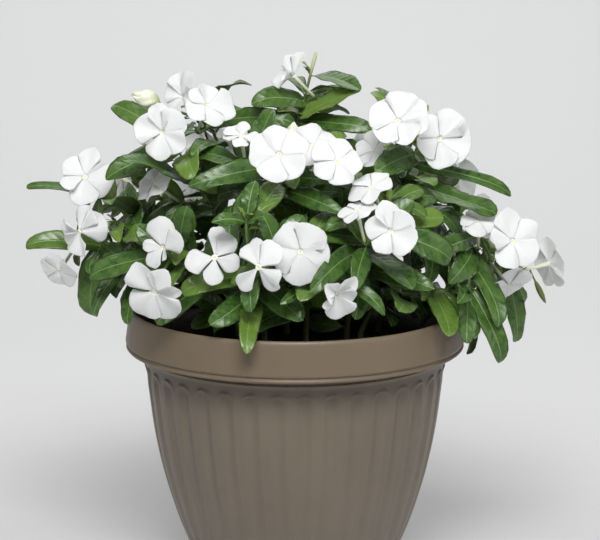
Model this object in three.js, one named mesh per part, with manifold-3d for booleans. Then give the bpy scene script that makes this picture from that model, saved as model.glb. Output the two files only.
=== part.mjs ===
// A Madagascar periwinkle with white blooms, grown full and domed in a fluted plastic planter.
// Millimetres, +Z up. The origin is the centre of the planter's underside, and the front looks along -Y.
import * as THREE from 'three';
import Module from 'manifold-3d';

const wasm = await Module();
wasm.setup();

// Driving dimensions of the planter
const POT_FLOOR = 3;
const FLUTES = 36;
const FLUTE_DEPTH = 1.7;
const FLUTE_PHASE = THREE.MathUtils.degToRad(3.8 - 90);
const DRAIN_HOLES = 6;
const DRAIN_RADIUS = 5.5;
const DRAIN_CIRCLE = 46;

// Driving dimensions of the soil and of the plant
const SEAT_GAP = 0.3;
const SOIL_EDGE = 185;
const SOIL_CROWN = 190;
const SOIL_UNEVEN = 1.4;
const STEM_DEPTH = 22;
const STEM_COLLAR = 3;
const STEM_SIDES = 4;
const SEATS = 36;
const SEATS_BETWEEN_RINGS = 9;
const SEAT_HEIGHT = 1.1;
const LEAF_SLANT = 0.3;
const STALK_SLANT = 0.12;
const FOOT_RADIUS = 2.7;
const TIP_RADIUS = 1.4;
const TUBE_LENGTH = 27;
const CALYX_RADIUS = 1.8;
const STALK_SHARES = [0.45, 0.85, 1];
const STALK_RADII = [0.9, 1.0, CALYX_RADIUS];
const STALK_LEAD = 8;
const THROAT = [[-TUBE_LENGTH, 1.2], [-5, 1.6], [-0.5, 2.0], [0.4, 2.5]];
const PETALS = 5;
const PETAL_THICKNESS = 0.66;
const PETAL_TILT = THREE.MathUtils.degToRad(9);
const PETAL_UNEVEN = 0.3;
const PETAL_SAG = 0.1;
const REACH_UNEVEN = 0.1;
const LEAF_THICKNESS = 0.72;
const LEAF_FOLD = 0.3;
const LEAF_OUTLINE = [[0.4, 0.47], [0.76, 0.44]];
const LEAF_CUT = 0.16;
const CLEAR = 0.9;
const TOUCH = 1e-3;
const HEART = new THREE.Vector3(0, 0, 215);
const DOME = new THREE.Vector3(172, 158, 172);

// One petal from its throat to its end, row by row: how far forward and how far sideways, as shares of its
// reach. It is lopsided, so that a bloom looks like a pinwheel.
const PETAL_OUTLINE = [
  [[0.46, 0.31], [0.46, -0.31]],
  [[0.86, 0.505], [0.78, -0.48]],
  [[1, -0.08]],
];

// A large bud and a small one: the share of the length, with the share of the radius or of the stalk's bend
const BUD_SHAPE = [[0.25, 0.75], [0.55, 1], [0.85, 0.55]];
const BUD_FOOT_RADIUS = 1.3;
const BUD_END_RADIUS = 0.5;
const SMALL_BUD_SHARES = [0.5, 0.78, 1];
const SMALL_BUD_STALK = 0.8;

// The soil's top: each ring's share of the edge's radius, and its height
const SOIL_TOP = [[0.72, SOIL_EDGE + 3], [0.36, SOIL_CROWN]];

// The space in front of a bloom that stays open: distances from its eye, with shares of its reach
const OPEN_SPACE = [[1, 0.8], [24, 0.9]];

// The planter's wall as radius at height: the outside from the foot up to the flutes' shoulder, the rim's
// rings, ridges, band and lip, and the inside from the lip down to the floor
const WALL_OUTSIDE = [[14, 77.0], [75, 98.6], [148, 111.1]];
const RIM_OUTSIDE = [
  [160, 111.9], [170, 112.6], [171.4, 114.8], [172.8, 113.4], [174.8, 125.2],
  [176.6, 127.0], [178.2, 125.7], [180, 127.2], [202, 124.4], [204.3, 123.6], [205, 122.4],
];
const WALL_INSIDE = [[203.6, 120.9], [179, 122.0], [174.5, 109.7], [80, 96.0], [POT_FLOOR, 67.5]];
const FOOT_OUTSIDE = [[0, 69], [6, 73.6]];

// Each leafy stem: where it leaves the soil, its tip, and how steeply it rises there
const STEMS = {
  left_low: { foot: [-56, -8], tip: [-146, -4, 252], rise: 8 },
  left_top: { foot: [-50, 14], tip: [-150, 10, 288], rise: 30 },
  upper_left: { foot: [-42, -12], tip: [-90, -16, 333], rise: 62 },
  top_left: { foot: [-26, 12], tip: [-66, 10, 345], rise: 65 },
  front_left: { foot: [-42, -36], tip: [-84, -66, 260], rise: 32 },
  front_mid_left: { foot: [-22, -54], tip: [-32, -98, 252], rise: 22 },
  front_mid_right: { foot: [8, -56], tip: [16, -96, 254], rise: 25 },
  centre: { foot: [-6, -28], tip: [-8, -50, 322], rise: 75 },
  top_centre: { foot: [2, 0], tip: [5, 6, 360], rise: 85 },
  upper_right: { foot: [20, -22], tip: [36, -38, 322], rise: 70 },
  centre_right: { foot: [38, -46], tip: [68, -74, 296], rise: 55 },
  top_right: { foot: [52, -12], tip: [92, -12, 334], rise: 78 },
  right: { foot: [62, -20], tip: [138, -14, 262], rise: 25 },
  right_low: { foot: [48, -44], tip: [130, -46, 224], rise: -4 },
  far_right: { foot: [64, 8], tip: [160, -2, 230], rise: -5 },
  back_left: { foot: [-42, 38], tip: [-110, 58, 282], rise: 40 },
  back_mid_left: { foot: [-20, 52], tip: [-58, 92, 298], rise: 45 },
  back_centre: { foot: [2, 34], tip: [-4, 92, 318], rise: 60 },
  back_mid_right: { foot: [26, 52], tip: [52, 96, 294], rise: 45 },
  back_right: { foot: [48, 34], tip: [106, 64, 284], rise: 38 },
};

// Each bloom: its stem, the place of its eye, the way it faces (degrees from the front towards the right,
// degrees up), the turn of its petals, their reach, how far they cup forward, and their breadth
const BLOOMS = [
  ['left_top', [-155, -12, 304], [-20, 35], 12, 22, 0.02, 1],
  ['upper_left', [-95, -52, 343], [-5, 15], 50, 20.5, 0.08, 0.98],
  ['upper_left', [-103, -34, 303], [-55, 35], 20, 16, 0, 0.95],
  ['top_left', [-83, 2, 362], [-50, 20], 35, 18.5, 0.05, 0.95],
  ['top_left', [-64, -34, 360], [25, 50], 10, 19.5, 0, 1],
  ['left_low', [-158, -34, 267], [-60, -10], 25, 20, 0.06, 0.95],
  ['left_low', [-175, -14, 234], [-30, -35], 0, 16, 0, 1],
  ['front_left', [-93, -92, 266], [-25, 10], 30, 19, 0.1, 0.92],
  ['front_left', [-98, -112, 239], [-10, -20], 60, 20, 0.04, 0.95],
  ['front_mid_left', [-56, -112, 263], [0, 10], 18, 21, -0.04, 0.86],
  ['front_mid_left', [-25, -132, 260], [-25, 0], 55, 21, 0.06, 0.88],
  ['front_mid_right', [4, -122, 269], [5, 15], 22, 22, 0, 1.04],
  ['front_mid_right', [29, -127, 241], [20, -20], 40, 18, 0.12, 0.95],
  ['centre', [-11, -92, 333], [0, 25], 40, 21, 0, 1.05],
  ['centre', [13, -58, 334], [10, 45], 15, 19, 0.02, 1],
  ['centre', [-38, -58, 341], [-10, 60], 0, 15.5, 0, 1],
  ['top_centre', [-1, -12, 379], [-50, 40], 10, 16, 0.3, 0.85],
  ['upper_right', [30, -84, 327], [15, 30], 62, 18.5, 0, 1.05],
  ['centre_right', [54, -86, 309], [-50, 60], 20, 17.5, 0.04, 0.9],
  ['centre_right', [67, -118, 283], [-5, 15], 52, 20, 0.05, 1],
  ['centre_right', [44, -100, 294], [-30, 65], 45, 14, 0, 0.95],
  ['top_right', [74, -58, 352], [-10, 30], 8, 22.5, 0.02, 1.05],
  ['top_right', [105, -36, 336], [15, 25], 58, 21.5, 0.04, 1.02],
  ['top_right', [58, -34, 327], [-30, 20], 30, 15, 0.15, 0.85],
  ['right', [158, -50, 263], [20, 20], 0, 22, 0.1, 0.85],
  ['right', [135, -38, 276], [0, 60], 30, 14.5, 0, 0.95],
  ['far_right', [190, 2, 236], [125, 5], 20, 20, 0.05, 0.95],
  ['far_right', [158, -27, 226], [32, -30], 40, 18, 0.05, 0.95],
  ['back_left', [-134, 82, 288], [-125, 20], 0, 20, 0, 1],
  ['back_mid_left', [-70, 116, 312], [-155, 30], 20, 20, 0.03, 1],
  ['back_mid_left', [-84, 124, 268], [-150, 5], 45, 20, 0, 0.95],
  ['back_centre', [-6, 120, 322], [180, 25], 30, 21, 0.02, 1],
  ['back_mid_right', [60, 122, 302], [155, 25], 10, 20, 0, 1],
  ['back_mid_right', [30, 132, 266], [172, 0], 60, 20, 0.05, 0.95],
  ['back_right', [126, 88, 294], [130, 25], 35, 21, 0, 1],
  ['back_right', [146, 62, 258], [110, 0], 15, 20, 0.04, 0.95],
];

// Each large cream bud: its stem, its foot, the way it points, its length and its greatest radius
const BUDS = [
  ['top_left', [-101, 18, 354], [-82, 22], 23, 6.8],
  ['top_centre', [-2, -15, 330], [20, 76], 17, 5.2],
];

// Each small green bud, fused to its stem: the stem, the bud's tip and its greatest radius
const SMALL_BUDS = [
  ['top_centre', [16, 2, 396], 2],
  ['top_right', [98, -6, 357], 1.9],
  ['front_mid_left', [-34, -110, 290], 1.6],
  ['left_top', [-140, -14, 285], 1.8],
  ['right', [146, -28, 243], 1.7],
  ['back_centre', [6, 100, 346], 1.8],
];

// Each large leaf of the front: its stem, how far up the stem it grows, the place of its tip, its width
const LARGE_LEAVES = [
  ['left_top', 0.94, [-196, -12, 297], 8],
  ['left_low', 1.0, [-198, -20, 258], 15],
  ['upper_left', 1.0, [-136, 6, 356], 17],
  ['upper_left', 1.0, [-135, -48, 311], 20],
  ['left_top', 0.75, [-143, -40, 292], 16],
  ['upper_left', 0.72, [-133, -62, 275], 20],
  ['front_left', 1.0, [-147, -88, 270], 19],
  ['left_low', 1.0, [-157, -30, 244], 10],
  ['left_low', 1.0, [-166, -30, 211], 22],
  ['left_low', 0.96, [-122, -50, 243], 14],
  ['left_low', 0.8, [-147, -50, 216], 12],
  ['left_low', 0.65, [-124, -60, 206], 14],
  ['upper_left', 0.9, [-79, -64, 302], 22],
  ['centre', 1.0, [-74, -80, 317], 17],
  ['centre', 0.94, [-65, -70, 310], 12],
  ['upper_left', 0.75, [-62, -60, 301], 13],
  ['centre', 0.86, [-41, -100, 294], 18],
  ['top_left', 0.95, [-4, -20, 343], 14],
  ['top_left', 0.99, [-38, 20, 350], 10],
  ['top_left', 0.85, [-81, -50, 326], 14],
  ['front_left', 0.82, [-82, -72, 288], 12],
  ['front_left', 0.83, [-90, -98, 243], 11],
  ['front_mid_left', 0.79, [-78, -106, 248], 16],
  ['front_mid_left', 0.63, [-55, -122, 219], 17],
  ['front_mid_left', 0.49, [-32, -140, 207], 15],
  ['top_centre', 0.98, [-28, -20, 363], 18],
  ['top_centre', 1.0, [48, -22, 369], 16],
  ['top_centre', 1.0, [43, 20, 372], 11],
  ['top_centre', 0.94, [55, -24, 343], 13],
  ['top_centre', 0.89, [38, -20, 334], 7],
  ['centre', 0.83, [30, -90, 292], 15],
  ['upper_right', 0.87, [52, -76, 298], 10],
  ['centre', 0.87, [37, -66, 312], 11],
  ['centre_right', 0.64, [17, -96, 277], 16],
  ['centre_right', 0.58, [20, -136, 255], 16],
  ['front_mid_right', 0.52, [-1, -122, 237], 10],
  ['centre_right', 0.45, [97, -96, 239], 17],
  ['top_right', 0.97, [59, 6, 367], 12],
  ['top_right', 0.91, [58, -56, 312], 19],
  ['top_right', 0.85, [160, -22, 296], 11],
  ['top_right', 0.77, [149, -36, 285], 17],
  ['top_right', 0.67, [88, -60, 266], 18],
  ['right', 0.96, [100, -60, 254], 15],
  ['right', 0.8, [157, -48, 199], 19],
  ['far_right', 1.0, [181, -24, 188], 17],
  ['right_low', 0.96, [124, -76, 194], 14],
  ['right_low', 1.0, [148, -60, 174], 16],
  ['far_right', 1.0, [187, -4, 210], 7],
  ['right_low', 0.72, [112, -92, 202], 19],
  ['right', 0.84, [122, -40, 281], 13],
  ['front_mid_right', 0.81, [64, -108, 227], 11],
];

// The other leaves stand in opposite pairs, each pair crossing the one below: how far up the stem each
// pair grows, the length of its leaves, and how far they lean along the stem
const LEAF_PAIRS = [
  { along: 0.4, length: 52, lean: 0.25 },
  { along: 0.57, length: 54, lean: 0.4 },
  { along: 0.75, length: 48, lean: 0.55 },
  { along: 0.93, length: 34, lean: 0.8 },
];
const LEAF_SLENDERNESS = 0.37;

// The ways in which a leaf gives way to its neighbours: degrees sideways, degrees upwards, share of length
const BENDS_OF_LARGE_LEAVES = [
  [0, 0, 1], [5, 0, 1], [-5, 0, 1], [0, 8, 1], [0, -8, 1], [8, 8, 1], [-8, 8, 1], [8, -8, 1], [-8, -8, 1],
  [0, 16, 1], [0, -16, 1], [0, 26, 1], [0, -26, 1], [12, 16, 0.95], [-12, 16, 0.95], [12, -16, 0.95],
  [-12, -16, 0.95], [0, 36, 1], [0, -36, 1], [12, 30, 0.95], [-12, 30, 0.95], [12, -30, 0.95],
  [-12, -30, 0.95], [18, 0, 0.9], [-18, 0, 0.9], [0, 0, 0.75], [0, 20, 0.8], [0, -20, 0.8],
];
const BENDS = [
  [0, 0, 1], [16, 6, 1], [-16, 6, 1], [0, 22, 0.95], [0, -20, 0.95], [32, 0, 0.92], [-32, 0, 0.92],
  [24, -24, 0.85], [-24, -24, 0.85], [24, 28, 0.85], [-24, 28, 0.85], [0, 0, 0.7],
];

// Looks of the pieces, as colour, roughness and metalness
const TAUPE_PLASTIC = { color: 0x776b5d, roughness: 0.45, metalness: 0 };
const DARK_SOIL = { color: 0x2b241c, roughness: 0.95, metalness: 0 };
const GREEN_LEAF = { color: 0x4f7a3a, roughness: 0.45, metalness: 0 };
const WHITE_PETAL = { color: 0xf6f7f5, roughness: 0.6, metalness: 0 };
const CREAM_BUD = { color: 0xe8ead0, roughness: 0.6, metalness: 0 };

// Small tools

const vector = (list) => new THREE.Vector3(...list);

function degrees(angle) {
  return THREE.MathUtils.degToRad(angle);
}

// A repeatable draw between 0 and 1 for each whole number
function draw(number) {
  const wave = Math.sin(number * 12.9898 + 4.1414) * 43758.5453;
  return wave - Math.floor(wave);
}

// A unit direction from the front towards the right, then up, both in degrees
function facing([turn, lift]) {
  const [a, e] = [degrees(turn), degrees(lift)];
  return new THREE.Vector3(Math.sin(a) * Math.cos(e), -Math.cos(a) * Math.cos(e), Math.sin(e));
}

// A ring of points about a centre, in the plane square to a direction
function ringAbout(centre, direction, across, radius, sides, phase = 0) {
  const other = direction.clone().cross(across).normalize();
  return Array.from({ length: sides }, (_, i) => {
    const angle = phase + (2 * Math.PI * i) / sides;
    return centre.clone()
      .addScaledVector(across, radius * Math.cos(angle))
      .addScaledVector(other, radius * Math.sin(angle));
  });
}

// The triangles between two neighbouring rows of points, which may differ in number
function stitch(rowA, rowB) {
  const faces = [];
  const lastA = rowA.length - 1;
  const lastB = rowB.length - 1;
  let a = 0;
  let b = 0;
  while (a < lastA || b < lastB) {
    const stepB = b < lastB && (a === lastA || (b + 1) / lastB <= (a + 1) / lastA);
    if (stepB) {
      faces.push([rowA[a], rowB[b + 1], rowB[b]]);
      b += 1;
    } else {
      faces.push([rowA[a], rowA[a + 1], rowB[b]]);
      a += 1;
    }
  }
  return faces;
}

// A closed skin that is built up from rings, rows and flat ends
class Skin {
  points = [];
  faces = [];

  add(points) {
    const first = this.points.length;
    this.points.push(...points);
    return points.map((_, i) => first + i);
  }

  // The band between two rings, counted anticlockwise about the way from the lower to the upper one, with
  // some of its sides left open
  band(lower, upper, open = []) {
    if (lower.length !== upper.length) {
      this.faces.push(...stitch([...lower, lower[0]], [...upper, upper[0]]));
      return;
    }
    lower.forEach((a, i) => {
      const next = (i + 1) % lower.length;
      if (open.includes(i)) return;
      this.faces.push([a, lower[next], upper[next]], [a, upper[next], upper[i]]);
    });
  }

  floor(ring) {
    for (let i = 1; i + 1 < ring.length; i++) this.faces.push([ring[0], ring[i + 1], ring[i]]);
  }

  lid(ring) {
    for (let i = 1; i + 1 < ring.length; i++) this.faces.push([ring[0], ring[i], ring[i + 1]]);
  }

  // A thin blade: its upper and its under side, and the walls round its edge. Its root may stay open.
  blade(upperRows, underRows, openRoot) {
    for (let r = 0; r + 1 < upperRows.length; r++) {
      this.faces.push(...stitch(upperRows[r], upperRows[r + 1]));
      const under = stitch(underRows[r], underRows[r + 1]);
      this.faces.push(...under.map(([a, b, c]) => [c, b, a]));
    }
    const edgeOf = (rows) => [
      ...rows.map((row) => row[0]),
      ...rows.slice(0, -1).map((row) => row[row.length - 1]).reverse(),
    ];
    const upper = edgeOf(upperRows);
    const under = edgeOf(underRows);
    upper.forEach((a, i) => {
      const next = (i + 1) % upper.length;
      if (openRoot && next === 0) return;
      this.faces.push([a, upper[next], under[next]], [a, under[next], under[i]]);
    });
  }

  solid() {
    const vertProperties = new Float32Array(this.points.flatMap((point) => point.toArray()));
    const triVerts = new Uint32Array(this.faces.flat());
    return new wasm.Manifold(new wasm.Mesh({ numProp: 3, vertProperties, triVerts }));
  }
}

// A closed body through rings of points, closed flat at both ends
function loft(rings) {
  const skin = new Skin();
  const numbered = rings.map((ring) => skin.add(ring));
  for (let r = 0; r + 1 < rings.length; r++) skin.band(numbered[r], numbered[r + 1]);
  skin.floor(numbered[0]);
  skin.lid(numbered[numbered.length - 1]);
  return skin.solid();
}

function thicken(skin, rows, normal, thickness) {
  const shifted = (distance) => rows.map((row) => skin.add(
    row.map((point) => point.clone().addScaledVector(normal, distance)),
  ));
  return [shifted(thickness / 2), shifted(-thickness / 2)];
}

// A blade that stands alone, used to test the room for it
function looseBlade(rows, normal, thickness) {
  const skin = new Skin();
  const [upper, under] = thicken(skin, rows, normal, thickness);
  skin.blade(upper, under, false);
  return skin.solid();
}

// The planter

function fluteAngle(step) {
  return FLUTE_PHASE + (2 * Math.PI * step) / (2 * FLUTES);
}

// A level ring of the planter, with one point on each ridge, or also one in each flute
function potRing([height, radius], fluted) {
  const steps = fluted ? 2 * FLUTES : FLUTES;
  return Array.from({ length: steps }, (_, i) => {
    const step = fluted ? i : 2 * i;
    const inFlute = step % 2 === 1;
    const reach = inFlute ? radius - FLUTE_DEPTH : radius;
    const angle = fluteAngle(step + 1);
    return new THREE.Vector3(reach * Math.cos(angle), reach * Math.sin(angle), height);
  });
}

function drainHole(index) {
  const angle = (2 * Math.PI * index) / DRAIN_HOLES;
  const up = new THREE.Vector3(0, 0, 1);
  const along = new THREE.Vector3(1, 0, 0);
  const [x, y] = [DRAIN_CIRCLE * Math.cos(angle), DRAIN_CIRCLE * Math.sin(angle)];
  const rings = [-5, POT_FLOOR + 5].map((height) => {
    return ringAbout(new THREE.Vector3(x, y, height), up, along, DRAIN_RADIUS, 6);
  });
  return loft(rings);
}

function potSolid() {
  const rings = [
    ...FOOT_OUTSIDE.map((point) => potRing(point, false)),
    ...WALL_OUTSIDE.map((point) => potRing(point, true)),
    ...RIM_OUTSIDE.map((point) => potRing(point, false)),
    ...WALL_INSIDE.map((point) => potRing(point, false)),
  ];
  let pot = loft(rings);
  for (let i = 0; i < DRAIN_HOLES; i++) pot = pot.subtract(drainHole(i));
  return pot;
}

// The soil

// The inside of the wall, set in by the seat gap, from the floor up to the step under the rim
function soilProfile() {
  const inside = [...WALL_INSIDE].reverse().map(([height, radius]) => new THREE.Vector2(radius, height));
  const steps = inside.slice(1).map((point, i) => point.clone().sub(inside[i]).normalize());
  return inside.slice(0, -1).map((point, i) => {
    const before = steps[Math.max(i - 1, 0)];
    const after = steps[i];
    const bisector = before.clone().add(after).normalize();
    const inward = new THREE.Vector2(-bisector.y, bisector.x);
    const stretch = (SEAT_GAP + 0.05) / inward.dot(new THREE.Vector2(-after.y, after.x));
    const moved = point.clone().addScaledVector(inward, stretch);
    return i === 0 ? [POT_FLOOR + SEAT_GAP, moved.x] : [moved.y, moved.x];
  });
}

function soilRing(radius, height, points) {
  return Array.from({ length: points }, (_, i) => {
    const angle = fluteAngle((2 * FLUTES * i) / points + 1);
    const uneven = SOIL_UNEVEN * Math.sin(3 * angle + radius) * Math.cos(2 * angle - radius / 9);
    return new THREE.Vector3(radius * Math.cos(angle), radius * Math.sin(angle), height + uneven);
  });
}

function stemHole(stem) {
  const sides = 6;
  const radius = (FOOT_RADIUS + SEAT_GAP + 0.1) / Math.cos(Math.PI / sides);
  const [x, y] = stem.foot;
  const heights = [SOIL_CROWN - STEM_DEPTH - SEAT_GAP, SOIL_CROWN + 10];
  const up = new THREE.Vector3(0, 0, 1);
  const along = new THREE.Vector3(1, 0, 0);
  return loft(heights.map((z) => ringAbout(new THREE.Vector3(x, y, z), up, along, radius, sides)));
}

function soilSolid(stems) {
  const edge = WALL_INSIDE[1][1] - 0.8;
  const rings = [
    ...soilProfile().map((point) => potRing(point, false)),
    potRing([SOIL_EDGE, edge], false),
    soilRing(edge * SOIL_TOP[0][0], SOIL_TOP[0][1], FLUTES / 2),
    soilRing(edge * SOIL_TOP[1][0], SOIL_TOP[1][1], FLUTES / 4),
  ];
  let soil = loft(rings);
  for (const stem of stems) soil = soil.subtract(stemHole(stem));
  return soil;
}

// The stems. Each is four-sided, and whatever grows from it grows out of a seat: one side of the short
// stretch between two close rings.

// A stem leaves the soil upright and bends over towards its tip
function stemCurve({ foot, tip, rise }) {
  const collar = new THREE.Vector3(foot[0], foot[1], SOIL_CROWN + STEM_COLLAR);
  const end = vector(tip);
  const outward = new THREE.Vector3(end.x - collar.x, end.y - collar.y, 0).normalize();
  const lead = outward.multiplyScalar(Math.cos(degrees(rise))).setZ(Math.sin(degrees(rise)));
  const length = end.distanceTo(collar);
  const lower = collar.clone().setZ(collar.z + 0.4 * length);
  const upper = end.clone().addScaledVector(lead, -0.35 * length);
  return new THREE.CubicBezierCurve3(collar, lower, upper, end);
}

// A stem that grows: its curve, the level direction across it, and the seats already taken
function sproutStem(name) {
  const curve = stemCurve(STEMS[name]);
  const outward = curve.v3.clone().sub(curve.v0);
  const across = new THREE.Vector3(-outward.y, outward.x, 0).normalize();
  return { name, curve, across, taken: [] };
}

function stemRing(stem, share, offset = 0) {
  const direction = stem.curve.getTangent(share);
  const centre = stem.curve.getPoint(share).addScaledVector(direction, offset);
  const radius = THREE.MathUtils.lerp(FOOT_RADIUS, TIP_RADIUS, share);
  return ringAbout(centre, direction, stem.across, radius, STEM_SIDES, Math.PI / STEM_SIDES);
}

function footRing(stem) {
  const centre = stem.curve.v0.clone().setZ(SOIL_CROWN - STEM_DEPTH);
  const up = new THREE.Vector3(0, 0, 1);
  return ringAbout(centre, up, stem.across, FOOT_RADIUS, STEM_SIDES, Math.PI / STEM_SIDES);
}

const seatShare = (seat) => (seat + 0.5) / SEATS;

// The outward direction of one side of a stem at a seat
function sideWay(stem, seat, side) {
  const direction = stem.curve.getTangent(seatShare(seat));
  const other = direction.clone().cross(stem.across).normalize();
  const angle = ((side + 1) * 2 * Math.PI) / STEM_SIDES;
  return stem.across.clone().multiplyScalar(Math.cos(angle)).addScaledVector(other, Math.sin(angle));
}

// The free side nearest to a place on the stem that looks towards the target
function freeSeat(stem, share, target, slant) {
  const wanted = Math.round(share * SEATS - 0.5);
  const sides = Array.from({ length: STEM_SIDES }, (_, side) => side);
  for (const shift of [0, 1, -1, 2, -2, 3, -3]) {
    const seat = THREE.MathUtils.clamp(wanted + shift, 1, SEATS - 1);
    const root = stem.curve.getPoint(seatShare(seat));
    const way = target.clone().sub(root).normalize();
    const slants = sides.map((side) => way.dot(sideWay(stem, seat, side)));
    const isOpen = (side) => slants[side] > slant
      && !stem.taken.some((other) => other.seat === seat && other.side === side);
    const open = sides.filter(isOpen).sort((a, b) => slants[b] - slants[a]);
    if (open.length > 0) return { seat, side: open[0], root };
  }
  return null;
}

// Turns the four corners of a seat until they lie nearest to the four wanted places
function matched(skin, quad, wanted) {
  const turns = [0, 1, 2, 3].map((turn) => quad.map((_, i) => quad[(i + turn) % 4]));
  const miss = (corners) => corners
    .map((corner, i) => skin.points[corner].distanceTo(wanted[i]))
    .reduce((sum, distance) => sum + distance, 0);
  return turns.sort((a, b) => miss(a) - miss(b))[0];
}

function growBlade(skin, quad, rows, normal, thickness) {
  const corners = quad.map((corner) => skin.points[corner]);
  const centre = corners.reduce((sum, corner) => sum.add(corner), new THREE.Vector3()).multiplyScalar(0.25);
  const ahead = rows[0][1].clone().sub(centre).normalize();
  const right = ahead.cross(normal).normalize();
  const places = [[1, -1], [-1, -1], [-1, 1], [1, 1]].map(([sideways, upwards]) => centre.clone()
    .addScaledVector(right, sideways)
    .addScaledVector(normal, 0.5 * upwards));
  const [underRight, underLeft, upperLeft, upperRight] = matched(skin, quad, places);
  const [upper, under] = thicken(skin, rows, normal, thickness);
  skin.blade([[upperLeft, upperRight], ...upper], [[underLeft, underRight], ...under], true);
}

function growRod(skin, quad, rings) {
  let lower = matched(skin, quad, rings[0]);
  for (const ring of rings) {
    const upper = skin.add(ring);
    skin.band(lower, upper);
    lower = upper;
  }
  skin.lid(lower);
}

// What grows from one seat, closed off at its root
function fromSeat(stem, { seat, side, grow }) {
  const lower = stemRing(stem, seatShare(seat), -SEAT_HEIGHT / 2);
  const upper = stemRing(stem, seatShare(seat), SEAT_HEIGHT / 2);
  const beside = (side + 1) % STEM_SIDES;
  const skin = new Skin();
  const quad = skin.add([lower[side], lower[beside], upper[beside], upper[side]]);
  grow(skin, quad);
  skin.floor(quad);
  return skin.solid();
}

// The whole skin of a stem, with all that grows from it
function stemSolid(stem) {
  const skin = new Skin();
  const foot = skin.add(footRing(stem));
  skin.floor(foot);
  let lower = skin.add(stemRing(stem, 0));
  skin.band(foot, lower);
  for (let seat = 0; seat < SEATS; seat++) {
    const here = stem.taken.filter((one) => one.seat === seat);
    if (here.length === 0 && seat % SEATS_BETWEEN_RINGS !== 0) continue;
    const next = skin.add(stemRing(stem, seatShare(seat), -SEAT_HEIGHT / 2));
    skin.band(lower, next);
    lower = next;
    if (here.length === 0) continue;
    const upper = skin.add(stemRing(stem, seatShare(seat), SEAT_HEIGHT / 2));
    skin.band(lower, upper, here.map((one) => one.side));
    for (const { side, grow } of here) {
      const beside = (side + 1) % STEM_SIDES;
      grow(skin, [lower[side], lower[beside], upper[beside], upper[side]]);
    }
    lower = upper;
  }
  const end = skin.add(stemRing(stem, 1, 1));
  skin.band(lower, end);
  skin.lid(end);
  return skin.solid();
}

function bareStem(stem) {
  const rings = Array.from({ length: SEATS + 1 }, (_, i) => stemRing(stem, i / SEATS));
  return loft([footRing(stem), ...rings]);
}

// Stalks and buds

// The seat on a stem from which a stalk to the given point is shortest
function nearestSeat(stem, point) {
  let best = null;
  for (let seat = Math.round(0.6 * SEATS); seat < SEATS; seat++) {
    const found = freeSeat(stem, seatShare(seat), point, STALK_SLANT);
    if (found && (!best || found.root.distanceTo(point) < best.root.distanceTo(point))) best = found;
  }
  return best;
}

// Four-sided rings along a bend from a root to an end, which it reaches in the given direction
function stalkRings(root, end, direction, shares, radii) {
  const arrival = end.clone().addScaledVector(direction, -STALK_LEAD);
  const curve = new THREE.QuadraticBezierCurve3(root, arrival, end);
  const upright = Math.abs(direction.z) > 0.9 ? new THREE.Vector3(1, 0, 0) : new THREE.Vector3(0, 0, 1);
  return shares.map((share, i) => {
    const way = curve.getTangent(share);
    const across = upright.clone().addScaledVector(way, -upright.dot(way)).normalize();
    return ringAbout(curve.getPoint(share), way, across, radii[i], STEM_SIDES);
  });
}

function growStalk(stem, end, direction, shares, radii) {
  const found = nearestSeat(stem, end.clone().addScaledVector(direction, -STALK_LEAD));
  if (!found) throw new Error(`no seat on ${stem.name}`);
  const rings = stalkRings(found.root, end, direction, shares, radii);
  const stalk = { ...found, grow: (skin, quad) => growRod(skin, quad, rings) };
  stem.taken.push(stalk);
  place(fromSeat(stem, stalk));
}

function growSmallBud(stem, [, tip, radius]) {
  const end = vector(tip);
  const found = nearestSeat(stem, end);
  const direction = end.clone().sub(found.root).normalize();
  growStalk(stem, end, direction, SMALL_BUD_SHARES, [SMALL_BUD_STALK, radius, BUD_END_RADIUS]);
}

// The blooms

function bloomFrame(way) {
  const normal = facing(way);
  const side = new THREE.Vector3(0, 0, 1).cross(normal).normalize();
  return { normal, side };
}

// The rows of one petal beyond the throat, and the direction its face looks
function petalRows({ eye, way, turn, reach, cup, breadth, seed }, index) {
  const { normal, side } = bloomFrame(way);
  const angle = degrees(turn) + (2 * Math.PI * index) / PETALS;
  const radial = side.clone().applyAxisAngle(normal, angle);
  const lift = cup + PETAL_UNEVEN * (draw(seed + 7 * index) - 0.5);
  const across = normal.clone().cross(radial);
  const along = radial.clone().multiplyScalar(Math.cos(lift)).addScaledVector(normal, Math.sin(lift));
  const over = across.clone()
    .multiplyScalar(Math.cos(PETAL_TILT))
    .addScaledVector(normal, Math.sin(PETAL_TILT));
  const face = along.clone().cross(over).normalize();
  const span = reach * (1 + REACH_UNEVEN * (draw(seed + 7 * index + 3) - 0.5));
  const spread = Math.cos(lift) * breadth;
  const at = ([forward, sideways]) => eye.clone()
    .addScaledVector(along, span * forward)
    .addScaledVector(over, span * sideways * spread)
    .addScaledVector(face, -PETAL_SAG * span * forward * forward);
  return { rows: PETAL_OUTLINE.map((row) => row.map(at)), face };
}

function bloomOf([, place, way, turn, reach, cup, breadth], index) {
  return { eye: vector(place), way, turn, reach, cup, breadth, seed: 100 * (index + 1) };
}

function bloomSolid(bloom) {
  const { normal, side } = bloomFrame(bloom.way);
  const phase = degrees(bloom.turn) - Math.PI / PETALS;
  const skin = new Skin();
  const [foot, neck, under, upper] = THROAT.map(([depth, radius]) => {
    const centre = bloom.eye.clone().addScaledVector(normal, depth);
    return skin.add(ringAbout(centre, normal, side, radius, PETALS, phase));
  });
  skin.floor(foot);
  skin.band(foot, neck);
  skin.band(neck, under);
  skin.lid(upper);
  for (let k = 0; k < PETALS; k++) {
    const beside = (k + 1) % PETALS;
    const { rows, face } = petalRows(bloom, k);
    const [top, back] = thicken(skin, rows, face, PETAL_THICKNESS);
    skin.blade([[upper[beside], upper[k]], ...top], [[under[beside], under[k]], ...back], true);
  }
  return skin.solid();
}

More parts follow.
